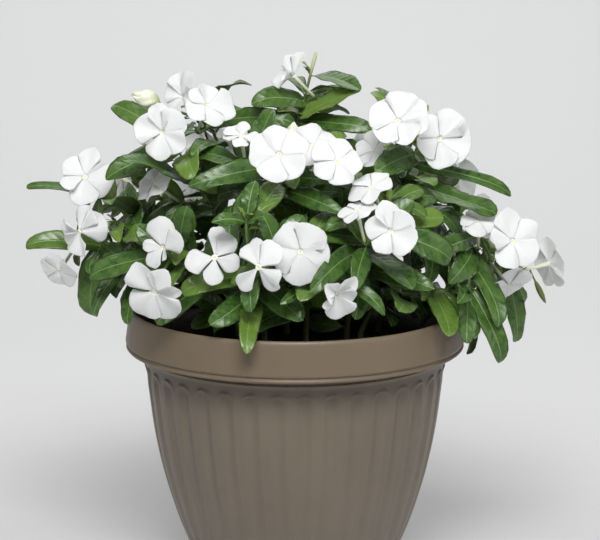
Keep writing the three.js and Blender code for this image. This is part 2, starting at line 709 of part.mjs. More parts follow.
// The free space in front of a bloom, which the paired leaves leave open
function spaceBefore({ eye, way, reach }) {
  const { normal, side } = bloomFrame(way);
  const rings = OPEN_SPACE.map(([distance, share]) => {
    const centre = eye.clone().addScaledVector(normal, distance);
    return ringAbout(centre, normal, side, share * reach, 6);
  });
  return loft(rings);
}

function budSolid([, foot, way, length, radius]) {
  const { normal, side } = bloomFrame(way);
  const sides = 6;
  const swelling = BUD_SHAPE.map(([share, breadth]) => [share, breadth * radius]);
  const shape = [[0, BUD_FOOT_RADIUS], ...swelling, [1, BUD_END_RADIUS]];
  return loft(shape.map(([share, reach]) => {
    const centre = vector(foot).addScaledVector(normal, share * length);
    return ringAbout(centre, normal, side, reach, sides);
  }));
}

// The leaves

// The direction a leaf looks: away from the heart of the plant, up, and to the front where the light is
function leafNormal(root, tip, { roll, frontward }) {
  const along = tip.clone().sub(root).normalize();
  const away = root.clone().add(tip).multiplyScalar(0.5).sub(HEART).normalize();
  const look = away.multiplyScalar(0.7).add(new THREE.Vector3(0, -frontward, 0.6));
  look.addScaledVector(along, -look.dot(along)).normalize();
  return look.applyAxisAngle(along, roll);
}

// A place on a leaf: its share of the length, and its distance to the right of the midrib
function leafPoint({ root, tip, normal, arch }, share, sideways) {
  const length = root.distanceTo(tip);
  const along = tip.clone().sub(root).normalize();
  const right = along.clone().cross(normal);
  const rise = arch * length * 4 * share * (1 - share) + LEAF_FOLD * Math.abs(sideways);
  return root.clone()
    .addScaledVector(along, share * length)
    .addScaledVector(right, sideways)
    .addScaledVector(normal, rise);
}

function leafRows(leaf, width) {
  const across = ([share, breadth]) => {
    return [-1, 0, 1].map((side) => leafPoint(leaf, share, side * breadth * width));
  };
  return [...LEAF_OUTLINE.map(across), [leafPoint(leaf, 1, 0)]];
}

// The same rows, with the leaf cut off a little way from its root
function cutLeafRows(leaf, width) {
  const [waist, breadth] = LEAF_OUTLINE[0];
  const half = (breadth * width * LEAF_CUT) / waist;
  return [[leafPoint(leaf, LEAF_CUT, -half), leafPoint(leaf, LEAF_CUT, half)], ...leafRows(leaf, width)];
}

// The tip of a leaf after it has given way to its neighbours
function bentTip(root, tip, normal, [sideways, upwards, share]) {
  const reach = tip.clone().sub(root);
  const right = reach.clone().normalize().cross(normal);
  reach.applyAxisAngle(normal, degrees(sideways));
  reach.applyAxisAngle(right, degrees(upwards));
  return root.clone().addScaledVector(reach, share);
}

// What is already placed, with the box about each piece
const placed = [];
const openSpaces = [];

function place(solid, { rodOf = null, list = placed } = {}) {
  list.push({ solid, box: solid.boundingBox(), rodOf });
  return solid;
}

function apart(boxA, boxB) {
  return [0, 1, 2].some((axis) => boxA.min[axis] > boxB.max[axis] || boxA.max[axis] < boxB.min[axis]);
}

function isFree(solid, lists, exceptRodOf) {
  const box = solid.boundingBox();
  const clears = (other) => other.rodOf === exceptRodOf
    || apart(box, other.box)
    || solid.intersect(other.solid).volume() < TOUCH;
  return lists.every((list) => list.every(clears));
}

// Grows one leaf on a stem, bent clear of everything already placed, where there is room for it
function growLeaf(stem, plan, bends, lists) {
  const found = freeSeat(stem, plan.share, plan.tip, LEAF_SLANT);
  if (!found) return;
  for (const bend of bends) {
    const firstNormal = leafNormal(found.root, plan.tip, plan);
    const tip = bentTip(found.root, plan.tip, firstNormal, bend);
    if (plan.inDome && tip.clone().sub(HEART).divide(DOME).length() > 1) continue;
    const leaf = { root: found.root, tip, normal: leafNormal(found.root, tip, plan), arch: plan.arch };
    const width = plan.width * (0.4 + 0.6 * bend[2]);
    const guard = looseBlade(cutLeafRows(leaf, width + 2 * CLEAR), leaf.normal, LEAF_THICKNESS + 2 * CLEAR);
    if (!isFree(guard, lists, 'none')) continue;
    const rows = leafRows(leaf, width);
    const grow = (skin, quad) => growBlade(skin, quad, rows, leaf.normal, LEAF_THICKNESS);
    const seated = { ...found, grow };
    const exact = fromSeat(stem, seated);
    if (!isFree(exact, [placed], stem.name)) continue;
    place(exact);
    stem.taken.push(seated);
    return;
  }
}

function largeLeafPlan([, share, tip, width], index) {
  return {
    share,
    tip: vector(tip),
    width,
    roll: 0.5 * (draw(index + 11) - 0.5),
    arch: 0.05 + 0.07 * draw(index + 57),
    frontward: 1.1,
    inDome: false,
  };
}

function pairedLeafPlan(stem, pair, side, seed) {
  const { along, length, lean } = LEAF_PAIRS[pair];
  const share = along + 0.05 * (draw(seed) - 0.5);
  const direction = stem.curve.getTangent(share);
  const turn = (pair % 2) * (Math.PI / 2) + side * Math.PI + 0.7 * (draw(seed + 1) - 0.5);
  const spread = stem.across.clone().applyAxisAngle(direction, turn);
  const way = spread.addScaledVector(direction, lean).normalize();
  const reach = length * (0.88 + 0.3 * draw(seed + 2));
  const tip = stem.curve.getPoint(share).addScaledVector(way, reach);
  tip.z -= reach * (0.05 + 0.2 * draw(seed + 3));
  return {
    share,
    tip,
    width: reach * LEAF_SLENDERNESS,
    roll: 0.7 * (draw(seed + 4) - 0.5),
    arch: 0.07 + 0.09 * draw(seed + 5),
    frontward: 0.25 * Math.sign(-tip.y),
    inDome: true,
  };
}

// Assembly

const pot = place(potSolid());
const soil = place(soilSolid(Object.values(STEMS)));
const blooms = BLOOMS.map(bloomOf);
const bloomSolids = blooms.map((bloom) => place(bloomSolid(bloom)));
const budSolids = BUDS.map((row) => place(budSolid(row)));
for (const bloom of blooms) place(spaceBefore(bloom), { list: openSpaces });

const stems = Object.fromEntries(Object.keys(STEMS).map((name) => [name, sproutStem(name)]));
for (const stem of Object.values(stems)) place(bareStem(stem), { rodOf: stem.name });

BLOOMS.forEach(([stemName], index) => {
  const { eye, way } = blooms[index];
  const direction = facing(way);
  const end = eye.clone().addScaledVector(direction, -TUBE_LENGTH - SEAT_GAP);
  growStalk(stems[stemName], end, direction, STALK_SHARES, STALK_RADII);
});
for (const [stemName, foot, way] of BUDS) {
  const direction = facing(way);
  const end = vector(foot).addScaledVector(direction, -SEAT_GAP);
  growStalk(stems[stemName], end, direction, STALK_SHARES, STALK_RADII);
}
for (const row of SMALL_BUDS) growSmallBud(stems[row[0]], row);

LARGE_LEAVES.forEach((row, index) => {
  growLeaf(stems[row[0]], largeLeafPlan(row, index), BENDS_OF_LARGE_LEAVES, [placed]);
});
Object.values(stems).forEach((stem, index) => {
  for (const pair of LEAF_PAIRS.keys()) {
    for (const side of [0, 1]) {
      const seed = 1000 + 100 * index + 20 * pair + 10 * side;
      growLeaf(stem, pairedLeafPlan(stem, pair, side, seed), BENDS, [placed, openSpaces]);
    }
  }
});

function meshOf(solid, name, look) {
  const { vertProperties, triVerts } = solid.getMesh();
  const geometry = new THREE.BufferGeometry();
  geometry.setAttribute('position', new THREE.BufferAttribute(new Float32Array(vertProperties), 3));
  geometry.setIndex(new THREE.BufferAttribute(new Uint32Array(triVerts), 1));
  geometry.computeVertexNormals();
  const mesh = new THREE.Mesh(geometry, new THREE.MeshStandardMaterial(look));
  mesh.name = name;
  return mesh;
}

const periwinkle = new THREE.Group();
periwinkle.add(meshOf(pot, 'pot', TAUPE_PLASTIC));
periwinkle.add(meshOf(soil, 'soil', DARK_SOIL));
for (const stem of Object.values(stems)) {
  periwinkle.add(meshOf(stemSolid(stem), `stem_${stem.name}`, GREEN_LEAF));
}
BLOOMS.forEach(([stemName], index) => {
  const count = BLOOMS.slice(0, index + 1).filter(([name]) => name === stemName).length;
  periwinkle.add(meshOf(bloomSolids[index], `bloom_${stemName}_${count}`, WHITE_PETAL));
});
BUDS.forEach(([stemName], index) => {
  periwinkle.add(meshOf(budSolids[index], `bud_${stemName}`, CREAM_BUD));
});

export default periwinkle;
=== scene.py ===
"""The looks of a potted Madagascar periwinkle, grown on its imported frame. Metres, +Z up, front along -Y."""

import math
import random

import bmesh
import bpy
import numpy as np
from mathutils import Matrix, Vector
from mathutils.bvhtree import BVHTree
from numpy.linalg import norm


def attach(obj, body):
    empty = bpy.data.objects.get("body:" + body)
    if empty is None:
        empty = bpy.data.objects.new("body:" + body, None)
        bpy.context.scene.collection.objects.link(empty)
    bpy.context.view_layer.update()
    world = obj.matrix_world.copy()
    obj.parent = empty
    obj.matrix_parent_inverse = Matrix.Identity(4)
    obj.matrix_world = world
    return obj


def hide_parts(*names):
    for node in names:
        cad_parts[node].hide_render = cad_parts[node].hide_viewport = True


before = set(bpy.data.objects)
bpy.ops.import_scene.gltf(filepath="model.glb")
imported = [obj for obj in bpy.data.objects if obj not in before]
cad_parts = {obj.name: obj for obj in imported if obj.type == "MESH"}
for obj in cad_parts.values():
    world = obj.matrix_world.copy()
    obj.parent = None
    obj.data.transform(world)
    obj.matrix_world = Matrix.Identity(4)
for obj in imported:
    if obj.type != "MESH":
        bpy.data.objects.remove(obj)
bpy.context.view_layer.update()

MM = 0.001

# How the frame's blades are found: the even thickness of its leaves and of its petals, and how many edges
# run through that thickness about each
LEAF_THICKNESS = 0.72 * MM
PETAL_THICKNESS = 0.66 * MM
SLACK = 0.0025 * MM
WELD = 0.005 * MM
WALLS_PER_BLADE = 5

# The camera
CAMERA_PLACE = (3.8 * MM, -1760.0 * MM, 582.3 * MM)
CAMERA_PITCH = math.radians(11.263)
CAMERA_LENS = 143.71

# The planter: heights and radii of its wall, and its flutes
WALL = [(14, 77.0), (22.5, 80.3), (40.2, 87.6), (60.2, 94.2), (79.5, 99.7), (99.5, 104.2), (118.8, 107.5),
        (138.8, 110.0), (148, 111.1), (160, 111.9), (166.8, 112.4)]
FOOT = [(1.2, 62), (0.4, 63), (0, 64.5), (0, 67.6), (1.0, 69.4), (3.4, 71.6), (8, 74.4)]
RIM = [(168.0, 112.7), (168.8, 113.8), (169.5, 114.7), (170.3, 114.7), (171.0, 113.8), (172.8, 113.7),
       (173.9, 118.0), (174.5, 124.6), (175.2, 126.3), (176.1, 126.9), (177.0, 126.7), (177.7, 125.9),
       (178.3, 125.7), (179.0, 126.4), (179.9, 127.1), (181, 127.2), (183, 126.9), (192, 125.7),
       (201, 124.6), (203.3, 124.1), (204.5, 123.4), (205, 122.5), (204.7, 121.6), (203.6, 121.0)]
INSIDE = [(198, 121.2), (180, 121.9), (178, 121.2), (175.5, 112.0), (173.5, 109.4), (80, 96.0), (4.5, 67.8),
          (3, 66.4)]
FLUTES = 36
FLUTE_PHASE = math.radians(3.8 - 90)
FLUTE_DEPTH = 2.1 * MM
FLUTE_HALF_WIDTH = 5.6 * MM
FLUTE_TOP = 160 * MM
FLUTE_LIP = 1.4 * MM
LIP_HALF_WIDTH = 1.6 * MM
WALL_STEPS = 720
DRAIN_HOLES = 6
DRAIN_RADIUS = 5.5 * MM
DRAIN_CIRCLE = 46 * MM
DRAIN_CORNERS = 24

# The heart of the plant, which its leaves turn away from, and the dome that they stay in
HEART = Vector((0, 0, 215 * MM))
DOME = Vector((172 * MM, 158 * MM, 172 * MM))

# The soil: the height of its surface, its rough top as rings of points, and heights and radii of its body
SOIL_TOP = 190 * MM
SOIL_EDGE = 185 * MM
SOIL_RINGS = 46
SOIL_STEPS = 150
SOIL_RADIUS = 121.0 * MM
SOIL_BODY = [(179.5, 121.0), (176.2, 112.0), (173.5, 108.8), (80, 95.4), (3.6, 66.8)]

# The shape of a leaf: shares of its length for its rows and for the known places of its midrib, shares of
# its half width for its columns, where it is widest, and the half width that the frame's leaves have
LEAF_ROWS = [0, 0.04, 0.08, 0.13, 0.2, 0.28, 0.37, 0.47, 0.57, 0.67, 0.77, 0.86, 0.93, 0.975, 1]
LEAF_COLUMNS = [-1, -0.8, -0.52, -0.22, 0, 0.22, 0.52, 0.8, 1]
SPINE_SHARES = (0, 0.4, 0.76, 1)
LEAF_FULLNESS = 0.54
LEAF_WIDEST = 0.54
FRAME_HALF_WIDTH = 0.47
PETIOLE = 0.07
PETIOLE_HALF_WIDTH = 0.55 * MM
TIP_HALF_WIDTH = 0.02 * MM
YOUNG_LENGTH = 32 * MM

# The smaller leaves: how many are tried on each stem, how far over the soil they root and end, the open
# place low in front that stays free of them, how far back a bloom counts as seen from the front, and how far
# before its face they may not stand
FILLERS_PER_STEM = 95
ROOTS_OVER_SOIL = 14 * MM
TIPS_OVER_SOIL = 6 * MM
OPEN_BEFORE = -55 * MM
OPEN_UNDER = 238 * MM
OPEN_WIDTH = 115 * MM
SEEN_FROM_FRONT = 50 * MM
CLEAR_OF_FACE = 26 * MM
CROWN_LEAVES = 5
TIP_BUD = (0.016, 0.002, 0.396)

# The green bud that hangs from the far right bloom: where it leaves the tube, its tip, and its outline as
# shares of its length with radii in millimetres
HANGING_BUD = ((0.175, -0.009, 0.234), (0.187, -0.012, 0.209))
HANGING_BUD_PROFILE = [(0, 0.7), (0.2, 0.55), (0.36, 0.8), (0.42, 1.5), (0.6, 2.2), (0.78, 2.0), (0.93, 1.1),
                       (1, 0.3)]

# The shape of a petal
PETAL_ROWS = [0.1, 0.17, 0.26, 0.37, 0.5, 0.63, 0.75, 0.85, 0.93, 0.98, 1]
PETAL_COLUMNS = [-1, -0.86, -0.66, -0.44, -0.22, 0, 0.22, 0.44, 0.66, 0.86, 1]
PETAL_HALF_ANGLE = math.radians(47)
PETAL_SIDES_AT = 0.46
PETAL_WAIST = 0.31 / PETAL_SIDES_AT
PETAL_TILT_KEPT = 0.12
PETAL_OVERLAP = 0.8 * MM
LARGEST_TURN = 30

# Where the edge of a petal is compared with its neighbours, how far a full move shows there, how near the
# neighbour has to be, and the farthest that the edge moves
EDGE_SHARE = 0.6
EDGE_COLUMN = 0.75
EDGE_WEIGHT = 0.84
EDGE_NEAR = 1.3 * MM
EDGE_MOVE = 3 * MM

# The tube and the eye of a bloom: places along its axis and radii, in millimetres
TUBE_PROFILE = [(0, 1.0), (2, 1.25), (8, 1.15), (16, 1.25), (21, 1.6), (24.5, 1.75), (26.3, 1.8)]
EYE_PROFILE = [(-0.9, 1.9), (0.1, 2.3), (0.35, 2.1), (0.45, 1.5), (0.4, 0.9), (0.2, 0.5), (-0.3, 0.3)]

# A sepal from its root to its tip: how far out and up, and half its width, in millimetres
SEPAL_ROWS = [(1.5, -0.6, 0.75), (2.3, 1.2, 0.7), (3.0, 2.8, 0.42), (3.9, 4.3, 0.06)]
SEPAL_LIFT = 0.22 * MM
SEPALS = 5

# A furled bud: its rows, the points round it, and its folds
BUD_ROWS = 22
BUD_SIDES = 40
BUD_FOLDS = 5

# The backdrop: how far it reaches to each side, where its wall stands, and how wide its bend is, in metres
STAGE_SIDE = 4.0
STAGE_BACK = 3.2
STAGE_BEND = 1.1
STAGE_COLUMNS = 9

# The softboxes: place, what each is aimed at, width, height and power
SOFTBOXES = {
    "top_softbox": ((0.05, -1.36, 1.66), (0, 0, 0.25), 1.1, 0.7, 38),
    "left_softbox": ((-1.9, -1.3, 1.1), (0, 0, 0.25), 1.0, 1.4, 4.5),
    "right_softbox": ((2.0, -1.0, 1.1), (0, 0, 0.25), 1.0, 1.4, 8),
    "back_softbox": ((0, 2.1, 2.5), (0, 2.1, 0), 3.2, 1.8, 44),
}
WORLD_STRENGTH = 0.2

# How the petals of the blooms in front stand: the direction in degrees clockwise from the top, the degrees
# that it lifts forward, its length and breadth in hundredths of the usual, and for some how far it folds,
# in hundredths, and the degrees that it rolls
PETAL_POSES = {
    "left_top_1": [(4, 12, 110, 70, 10), (95, 6, 108, 112), (172, 4, 98, 100), (238, 22, 85, 85, 35, 8),
        (306, 18, 90, 90, 10)],
    "upper_left_1": [(352, 18, 100, 75, 35), (50, 22, 106, 100, 20, -10), (128, 18, 104, 100, 0, 10),
        (192, 4, 100, 100), (284, 6, 102, 112)],
    "top_left_1": [(340, 12, 110, 85, 20), (22, 16, 115, 85, 25), (95, 10, 95, 100), (200, 10, 95, 100, 10),
        (280, 25, 90, 95, 30)],
    "top_left_2": [(100, 5, 112, 105), (25, 25, 90, 90, 10), (175, 8, 95, 100), (245, 10, 100, 100),
        (310, 30, 85, 80, 20)],
    "left_low_1": [(75, -42, 115, 110), (15, -25, 105, 100, 10), (300, 20, 80, 80, 40), (235, 25, 85, 80, 45),
        (160, 10, 95, 85, 30)],
    "left_low_2": [(10, 4, 98, 120), (82, 4, 100, 120), (154, 6, 100, 120), (226, 4, 98, 120),
        (298, 6, 100, 120)],
    "front_left_1": [(352, 10, 112, 112, 5), (62, 10, 105, 105), (148, 30, 60, 70, 20), (214, 6, 92, 90, 10),
        (276, 10, 85, 62, 10)],
    "front_left_2": [(322, 10, 130, 100, 10), (24, 16, 105, 90, 20), (82, 12, 100, 70, 30),
        (150, 2, 115, 110), (206, 2, 120, 115)],
    "front_mid_left_1": [(8, 4, 102, 62), (110, 2, 92, 85, 0, 12), (152, 8, 92, 80), (214, 0, 100, 90),
        (298, 2, 98, 90)],
    "front_mid_left_2": [(336, -14, 100, 110), (40, -16, 102, 100), (146, -24, 100, 62, 10),
        (186, -8, 114, 62, 15), (250, -12, 90, 95)],
    "front_mid_right_1": [(322, 12, 100, 110), (30, 22, 100, 110, 5), (98, 4, 100, 110), (176, 0, 108, 115),
        (252, 4, 95, 100)],
    "front_mid_right_2": [(318, 12, 92, 85, 40), (36, 12, 100, 95, 30), (98, 10, 85, 90, 10),
        (164, 0, 112, 115), (232, 25, 85, 80, 30)],
    "centre_1": [(350, 24, 100, 110), (60, 26, 100, 110), (138, 2, 100, 115), (206, 2, 100, 110),
        (284, 10, 100, 110, 10)],
    "centre_3": [(0, 20, 85, 85, 10), (90, 10, 85, 90), (180, 8, 80, 90), (270, 10, 90, 90)],
    "top_centre_1": [(20, 16, 115, 85, 10), (330, 24, 105, 90, 10), (250, -10, 115, 95),
        (170, 30, 75, 80, 30), (100, 40, 70, 70, 30)],
    "top_right_1": [(18, 18, 95, 115), (86, 12, 105, 110), (145, 12, 95, 110), (225, 10, 95, 110),
        (290, 14, 102, 110, 15)],
    "top_right_2": [(318, 24, 95, 105, 5), (44, 26, 108, 105, 30), (112, 2, 110, 120), (186, 0, 100, 110),
        (246, 16, 95, 105)],
    "top_right_3": [(90, 35, 95, 90, 20), (165, 35, 115, 95, 20), (215, 30, 110, 90, 20)],
    "centre_right_2": [(346, 22, 112, 75, 30, 25), (300, 20, 95, 95, 10), (58, 26, 100, 100),
        (128, 2, 106, 115), (214, 8, 90, 100, 10)],
    "right_1": [(346, 16, 108, 100), (36, 20, 100, 95, 20), (118, 2, 98, 120), (194, 0, 100, 115),
        (280, 14, 95, 90, 10)],
    "far_right_2": [(0, 10, 100, 115), (144, 0, 105, 120), (216, 0, 105, 120)],
}


# Small tools

def unit(vector):
    return vector / norm(vector)


def turned(vector, axis, degrees):
    """A direction turned about another one"""
    angle = math.radians(degrees)
    return (vector * math.cos(angle) + np.cross(axis, vector) * math.sin(angle)
            + axis * np.dot(axis, vector) * (1 - math.cos(angle)))


def clock_gap(later, earlier):
    """The degrees from one direction to another, the short way round"""
    return (later - earlier + 180) % 360 - 180


def rays(axis, side, count, start=0.0):
    """Directions all the way round an axis, each with its angle"""
    other = np.cross(axis, side)
    angles = [2 * math.pi * (k + start) / count for k in range(count)]
    return [(angle, side * math.cos(angle) + other * math.sin(angle)) for angle in angles]


def circle(radius, height, count, start=0.0, middle=(0, 0)):
    """Points round an upright axis"""
    angles = [2 * math.pi * (k + start) / count for k in range(count)]
    return [(middle[0] + radius * math.cos(a), middle[1] + radius * math.sin(a), height) for a in angles]


def put(name, data):
    """A new object in the scene"""
    made = bpy.data.objects.new(name, data)
    bpy.context.collection.objects.link(made)
    return made


def spline(points, steps):
    """A smooth curve through a list of points, with the given number of steps between each two"""
    points = [np.array(p, float) for p in points]
    ends = [2 * points[0] - points[1], *points, 2 * points[-1] - points[-2]]
    curve = []
    for before, a, b, after in zip(ends, ends[1:], ends[2:], ends[3:]):
        for step in range(steps):
            t = step / steps
            curve.append(0.5 * (2 * a + (b - before) * t + (2 * before - 5 * a + 4 * b - after) * t * t
                                + (3 * a - before - 3 * b + after) * t ** 3))
    return [*curve, points[-1]]


class Piece:
    """The points and faces of one mesh, with two pairs of flat coordinates for each point"""

    def __init__(self):
        self.points = []
        self.faces = []
        self.looks = []
        self.places = []
        self.facts = []

    def add(self, points, places=None, facts=None):
        first = len(self.points)
        self.points.extend(tuple(p) for p in points)
        self.places.extend(places or [(0, 0)] * len(points))
        self.facts.extend(facts or [(0.5, 0.5)] * len(points))
        return first

    def quads(self, index, look):
        """Faces over a grid of point numbers"""
        rows, columns = index.shape
        for r in range(rows - 1):
            for c in range(columns - 1):
                corners = [index[r, c], index[r, c + 1], index[r + 1, c + 1], index[r + 1, c]]
                distinct = list(dict.fromkeys(int(i) for i in corners))
                if len(distinct) > 2:
                    self.faces.append(distinct)
                    self.looks.append(look)

    def rings(self, points, sides, places=None):
        """Adds rings of points, and gives them as a grid of point numbers that closes on itself"""
        index = self.add(points, places) + np.arange(len(points)).reshape(-1, sides)
        return np.concatenate([index, index[:, :1]], axis=1)

    def closed_tube(self, points, sides, look=0, places=None):
        """A body over rings of points, with both its ends filled"""
        index = self.rings(points, sides, places)
        self.quads(index, look)
        self.faces.append([int(i) for i in index[0, :-1]][::-1])
        self.faces.append([int(i) for i in index[-1, :-1]])
        self.looks.extend([look, look])

    def shell(self, upper, under, columns, places, facts=None):
        """The grids of points above and below a thin blade, which share those of both its sides"""
        top = self.add(upper, places, facts) + np.arange(len(upper)).reshape(-1, columns)
        back = self.add(under, places, facts) + np.arange(len(under)).reshape(-1, columns)
        back[:, 0], back[:, -1] = top[:, 0], top[:, -1]
        return top, back

    def object(self, name, looks):
        mesh = bpy.data.meshes.new(name)
        mesh.from_pydata(self.points, [], self.faces)
        for look in looks:
            mesh.materials.append(look)
        mesh.polygons.foreach_set("material_index", self.looks)
        mesh.polygons.foreach_set("use_smooth", [True] * len(self.faces))
        corners = np.empty(len(mesh.loops), int)
        mesh.loops.foreach_get("vertex_index", corners)
        for layer, values in (("place", self.places), ("fact", self.facts)):
            flat = np.array(values, float)[corners].ravel()
            mesh.uv_layers.new(name=layer).data.foreach_set("uv", flat)
        mesh.validate()
        return put(name, mesh)


def dressed(piece, nodes):
    """Puts a finished piece in the place of its frame nodes"""
    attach(piece, "root")
    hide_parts(*nodes)


# Materials

# A pale colour for real dust, and for painted light from the floor on the planter's foot
PALE_DUST_AND_LIGHT = (0.30, 0.27, 0.23)


class Look:
    """A material with a few short ways to add and join its nodes"""

    def __init__(self, name, **constants):
        self.material = bpy.data.materials.new(name)
        self.material.use_nodes = True
        self.tree = self.material.node_tree
        self.shader = self.tree.nodes["Principled BSDF"]
        for socket, value in constants.items():
            self.shader.inputs[socket.replace("_", " ")].default_value = value

    def node(self, kind, inputs=None, **settings):
        made = self.tree.nodes.new(kind)
        for key, value in settings.items():
            setattr(made, key, value)
        for key, value in (inputs or {}).items():
            if isinstance(value, bpy.types.NodeSocket):
                self.tree.links.new(value, made.inputs[key])
            else:
                made.inputs[key].default_value = value
        return made

    def math(self, operation, a, b=0.0):
        return self.node("ShaderNodeMath", {0: a, 1: b}, operation=operation).outputs[0]

    def plus(self, a, b):
        return self.math("ADD", a, b)

    def less(self, a, b):
        return self.math("SUBTRACT", a, b)

    def times(self, a, b):
        return self.math("MULTIPLY", a, b)

    def ramp(self, value, low, high):
        """0 under the low value, 1 over the high one, and smooth between"""
        made = self.node("ShaderNodeMapRange", {"Value": value, "From Min": low, "From Max": high},
                         interpolation_type="SMOOTHSTEP")
        return made.outputs["Result"]

    def fall(self, value, low, high):
        """1 under the low value, 0 over the high one, and smooth between"""
        return self.less(1.0, self.ramp(value, low, high))

    def mix(self, share, a, b):
        made = self.node("ShaderNodeMix", {0: share}, data_type="RGBA")
        for socket, colour in ((6, a), (7, b)):
            if isinstance(colour, bpy.types.NodeSocket):
                self.tree.links.new(colour, made.inputs[socket])
            else:
                made.inputs[socket].default_value = (*colour, 1)
        return made.outputs[2]

    def stained(self, base, *stains):
        """A base colour with others laid over it: where each lies, how strongly, and its colour"""
        for share, amount, colour in stains:
            base = self.mix(self.times(share, amount), base, colour)
        return base

    def coordinates(self, layer):
        uv = self.node("ShaderNodeUVMap", uv_map=layer).outputs[0]
        parts = self.node("ShaderNodeSeparateXYZ", {0: uv})
        return parts.outputs[0], parts.outputs[1]

    def place(self):
        return self.node("ShaderNodeTexCoord").outputs["Object"]

    def distance_along(self, axis):
        return self.node("ShaderNodeSeparateXYZ", {0: self.place()}).outputs[axis]

    def noise(self, scale, detail=3.0, roughness=0.5, where=None):
        inputs = {"Vector": where or self.place(), "Scale": scale, "Detail": detail, "Roughness": roughness}
        return self.node("ShaderNodeTexNoise", inputs).outputs[0]

    def paint(self, colour):
        self.tree.links.new(colour, self.shader.inputs["Base Color"])

    def rough(self, value):
        self.tree.links.new(value, self.shader.inputs["Roughness"])

    def bump(self, height, strength, distance):
        made = self.node("ShaderNodeBump", {"Height": height, "Strength": strength, "Distance": distance})
        self.tree.links.new(made.outputs[0], self.shader.inputs["Normal"])


def plastic_look():
    """Taupe plastic: warmer on the band, painted shadow right under the rim, painted floor light towards the
    foot
    """
    look = Look("taupe_plastic", Specular_IOR_Level=0.5)
    cloud = look.noise(14, 4.0, 0.55)
    stretched = look.node("ShaderNodeMapping", {"Vector": look.place(), "Scale": (90, 90, 7)}).outputs[0]
    streak = look.noise(1.0, 3.0, 0.6, where=stretched)
    grain = look.noise(2600, 2.0, 0.6)
    dust = look.ramp(look.noise(55, 6.0, 0.7), 0.62, 0.78)
    height = look.distance_along(2)
    band = look.ramp(height, 0.168, 0.178)
    # Painted shade: the wall just under the rim is darkened where the rim's shadow falls
    painted_rim_shadow = look.less(look.ramp(height, 0.138, 0.164), look.ramp(height, 0.166, 0.168))
    # Painted light: the wall is lightened towards the foot, standing in for light bounced up from the floor
    painted_floor_light = look.fall(height, 0.03, 0.14)
    base = look.mix(look.ramp(cloud, 0.3, 0.7), (0.138, 0.111, 0.081), (0.160, 0.129, 0.095))
    look.paint(look.stained(base, (streak, 0.25, (0.190, 0.155, 0.117)), (dust, 0.10, PALE_DUST_AND_LIGHT),
                            (band, 0.6, (0.150, 0.108, 0.062)), (painted_rim_shadow, 0.42, (0.052, 0.046, 0.032)),
                            (painted_floor_light, 0.12, PALE_DUST_AND_LIGHT)))
    look.rough(look.plus(look.times(cloud, 0.16), 0.36))
    look.bump(look.plus(look.times(grain, 0.4), look.times(streak, 0.25)), 0.12, 0.0004)
    return look.material


def soil_look():
    look = Look("dark_soil", Roughness=0.95, Specular_IOR_Level=0.2)
    coarse = look.noise(160, 6.0, 0.65)
    fine = look.noise(900, 4.0, 0.7)
    fibre = look.ramp(look.noise(420, 3.0, 0.6), 0.66, 0.74)
    base = look.mix(look.ramp(coarse, 0.35, 0.7), (0.008, 0.006, 0.004), (0.034, 0.024, 0.015))
    look.paint(look.stained(base, (fibre, 0.5, (0.09, 0.062, 0.036))))
    look.bump(look.plus(coarse, look.times(fine, 0.4)), 0.9, 0.002)
    return look.material


def leaf_look(name, dark, light, rib, roughness, vein_share, bump):
    """Leaf skin: a pale midrib, side veins that rise to the tip, and small changes from leaf to leaf"""
    look = Look(name, Specular_IOR_Level=0.5)
    across, along = look.coordinates("place")
    share, tone = look.coordinates("fact")
    side = look.math("ABSOLUTE", across)
    rib_width = look.less(0.0062, look.times(share, 0.0034))
    midrib = look.fall(look.math("DIVIDE", side, rib_width), 0.4, 1.3)
    wander = look.times(look.noise(60, 2.0), 0.012)
    rise = look.less(look.plus(along, wander), look.times(side, 0.75))
    phase = look.math("FRACT", look.math("DIVIDE", rise, 0.046))
    off_vein = look.math("ABSOLUTE", look.less(phase, 0.5))
    near_edge = look.ramp(side, 0.04, 0.12)
    vein = look.times(look.fall(off_vein, 0.015, 0.075), look.less(1.0, look.times(near_edge, 0.6)))
    mottle = look.ramp(look.noise(130, 4.0, 0.6), 0.3, 0.7)
    base = look.mix(look.times(mottle, 0.55), dark, light)
    base = look.mix(look.ramp(tone, 0.3, 1.0), base, (light[0] * 1.5, light[1] * 1.3, light[2] * 1.1))
    look.paint(look.stained(base, (vein, vein_share, rib), (midrib, 0.75, rib)))
    look.rough(look.plus(look.times(mottle, 0.1), roughness))
    quilt = look.less(look.math("POWER", off_vein, 0.6), look.times(midrib, 1.2))
    look.bump(look.plus(quilt, look.times(look.noise(500, 2.0), 0.12)), bump, 0.0009)
    return look.material


def stem_look():
    """Green stalks, woody near the soil, with the bud at the top of the plant turning cream"""
    look = Look("green_stem", Roughness=0.5, Specular_IOR_Level=0.4)
    woody = look.fall(look.distance_along(2), 0.19, 0.27)
    mottle = look.ramp(look.noise(240, 4.0, 0.6), 0.3, 0.7)
    base = look.mix(mottle, (0.11, 0.19, 0.045), (0.19, 0.28, 0.085))
    base = look.stained(base, (woody, 0.8, (0.10, 0.085, 0.04)))
    away = look.node("ShaderNodeVectorMath", {0: look.place(), 1: TIP_BUD}, operation="DISTANCE").outputs[1]
    look.paint(look.mix(look.ramp(away, 0.024, 0.008), base, (0.58, 0.60, 0.36)))
    look.bump(look.noise(900, 3.0), 0.2, 0.0004)
    return look.material


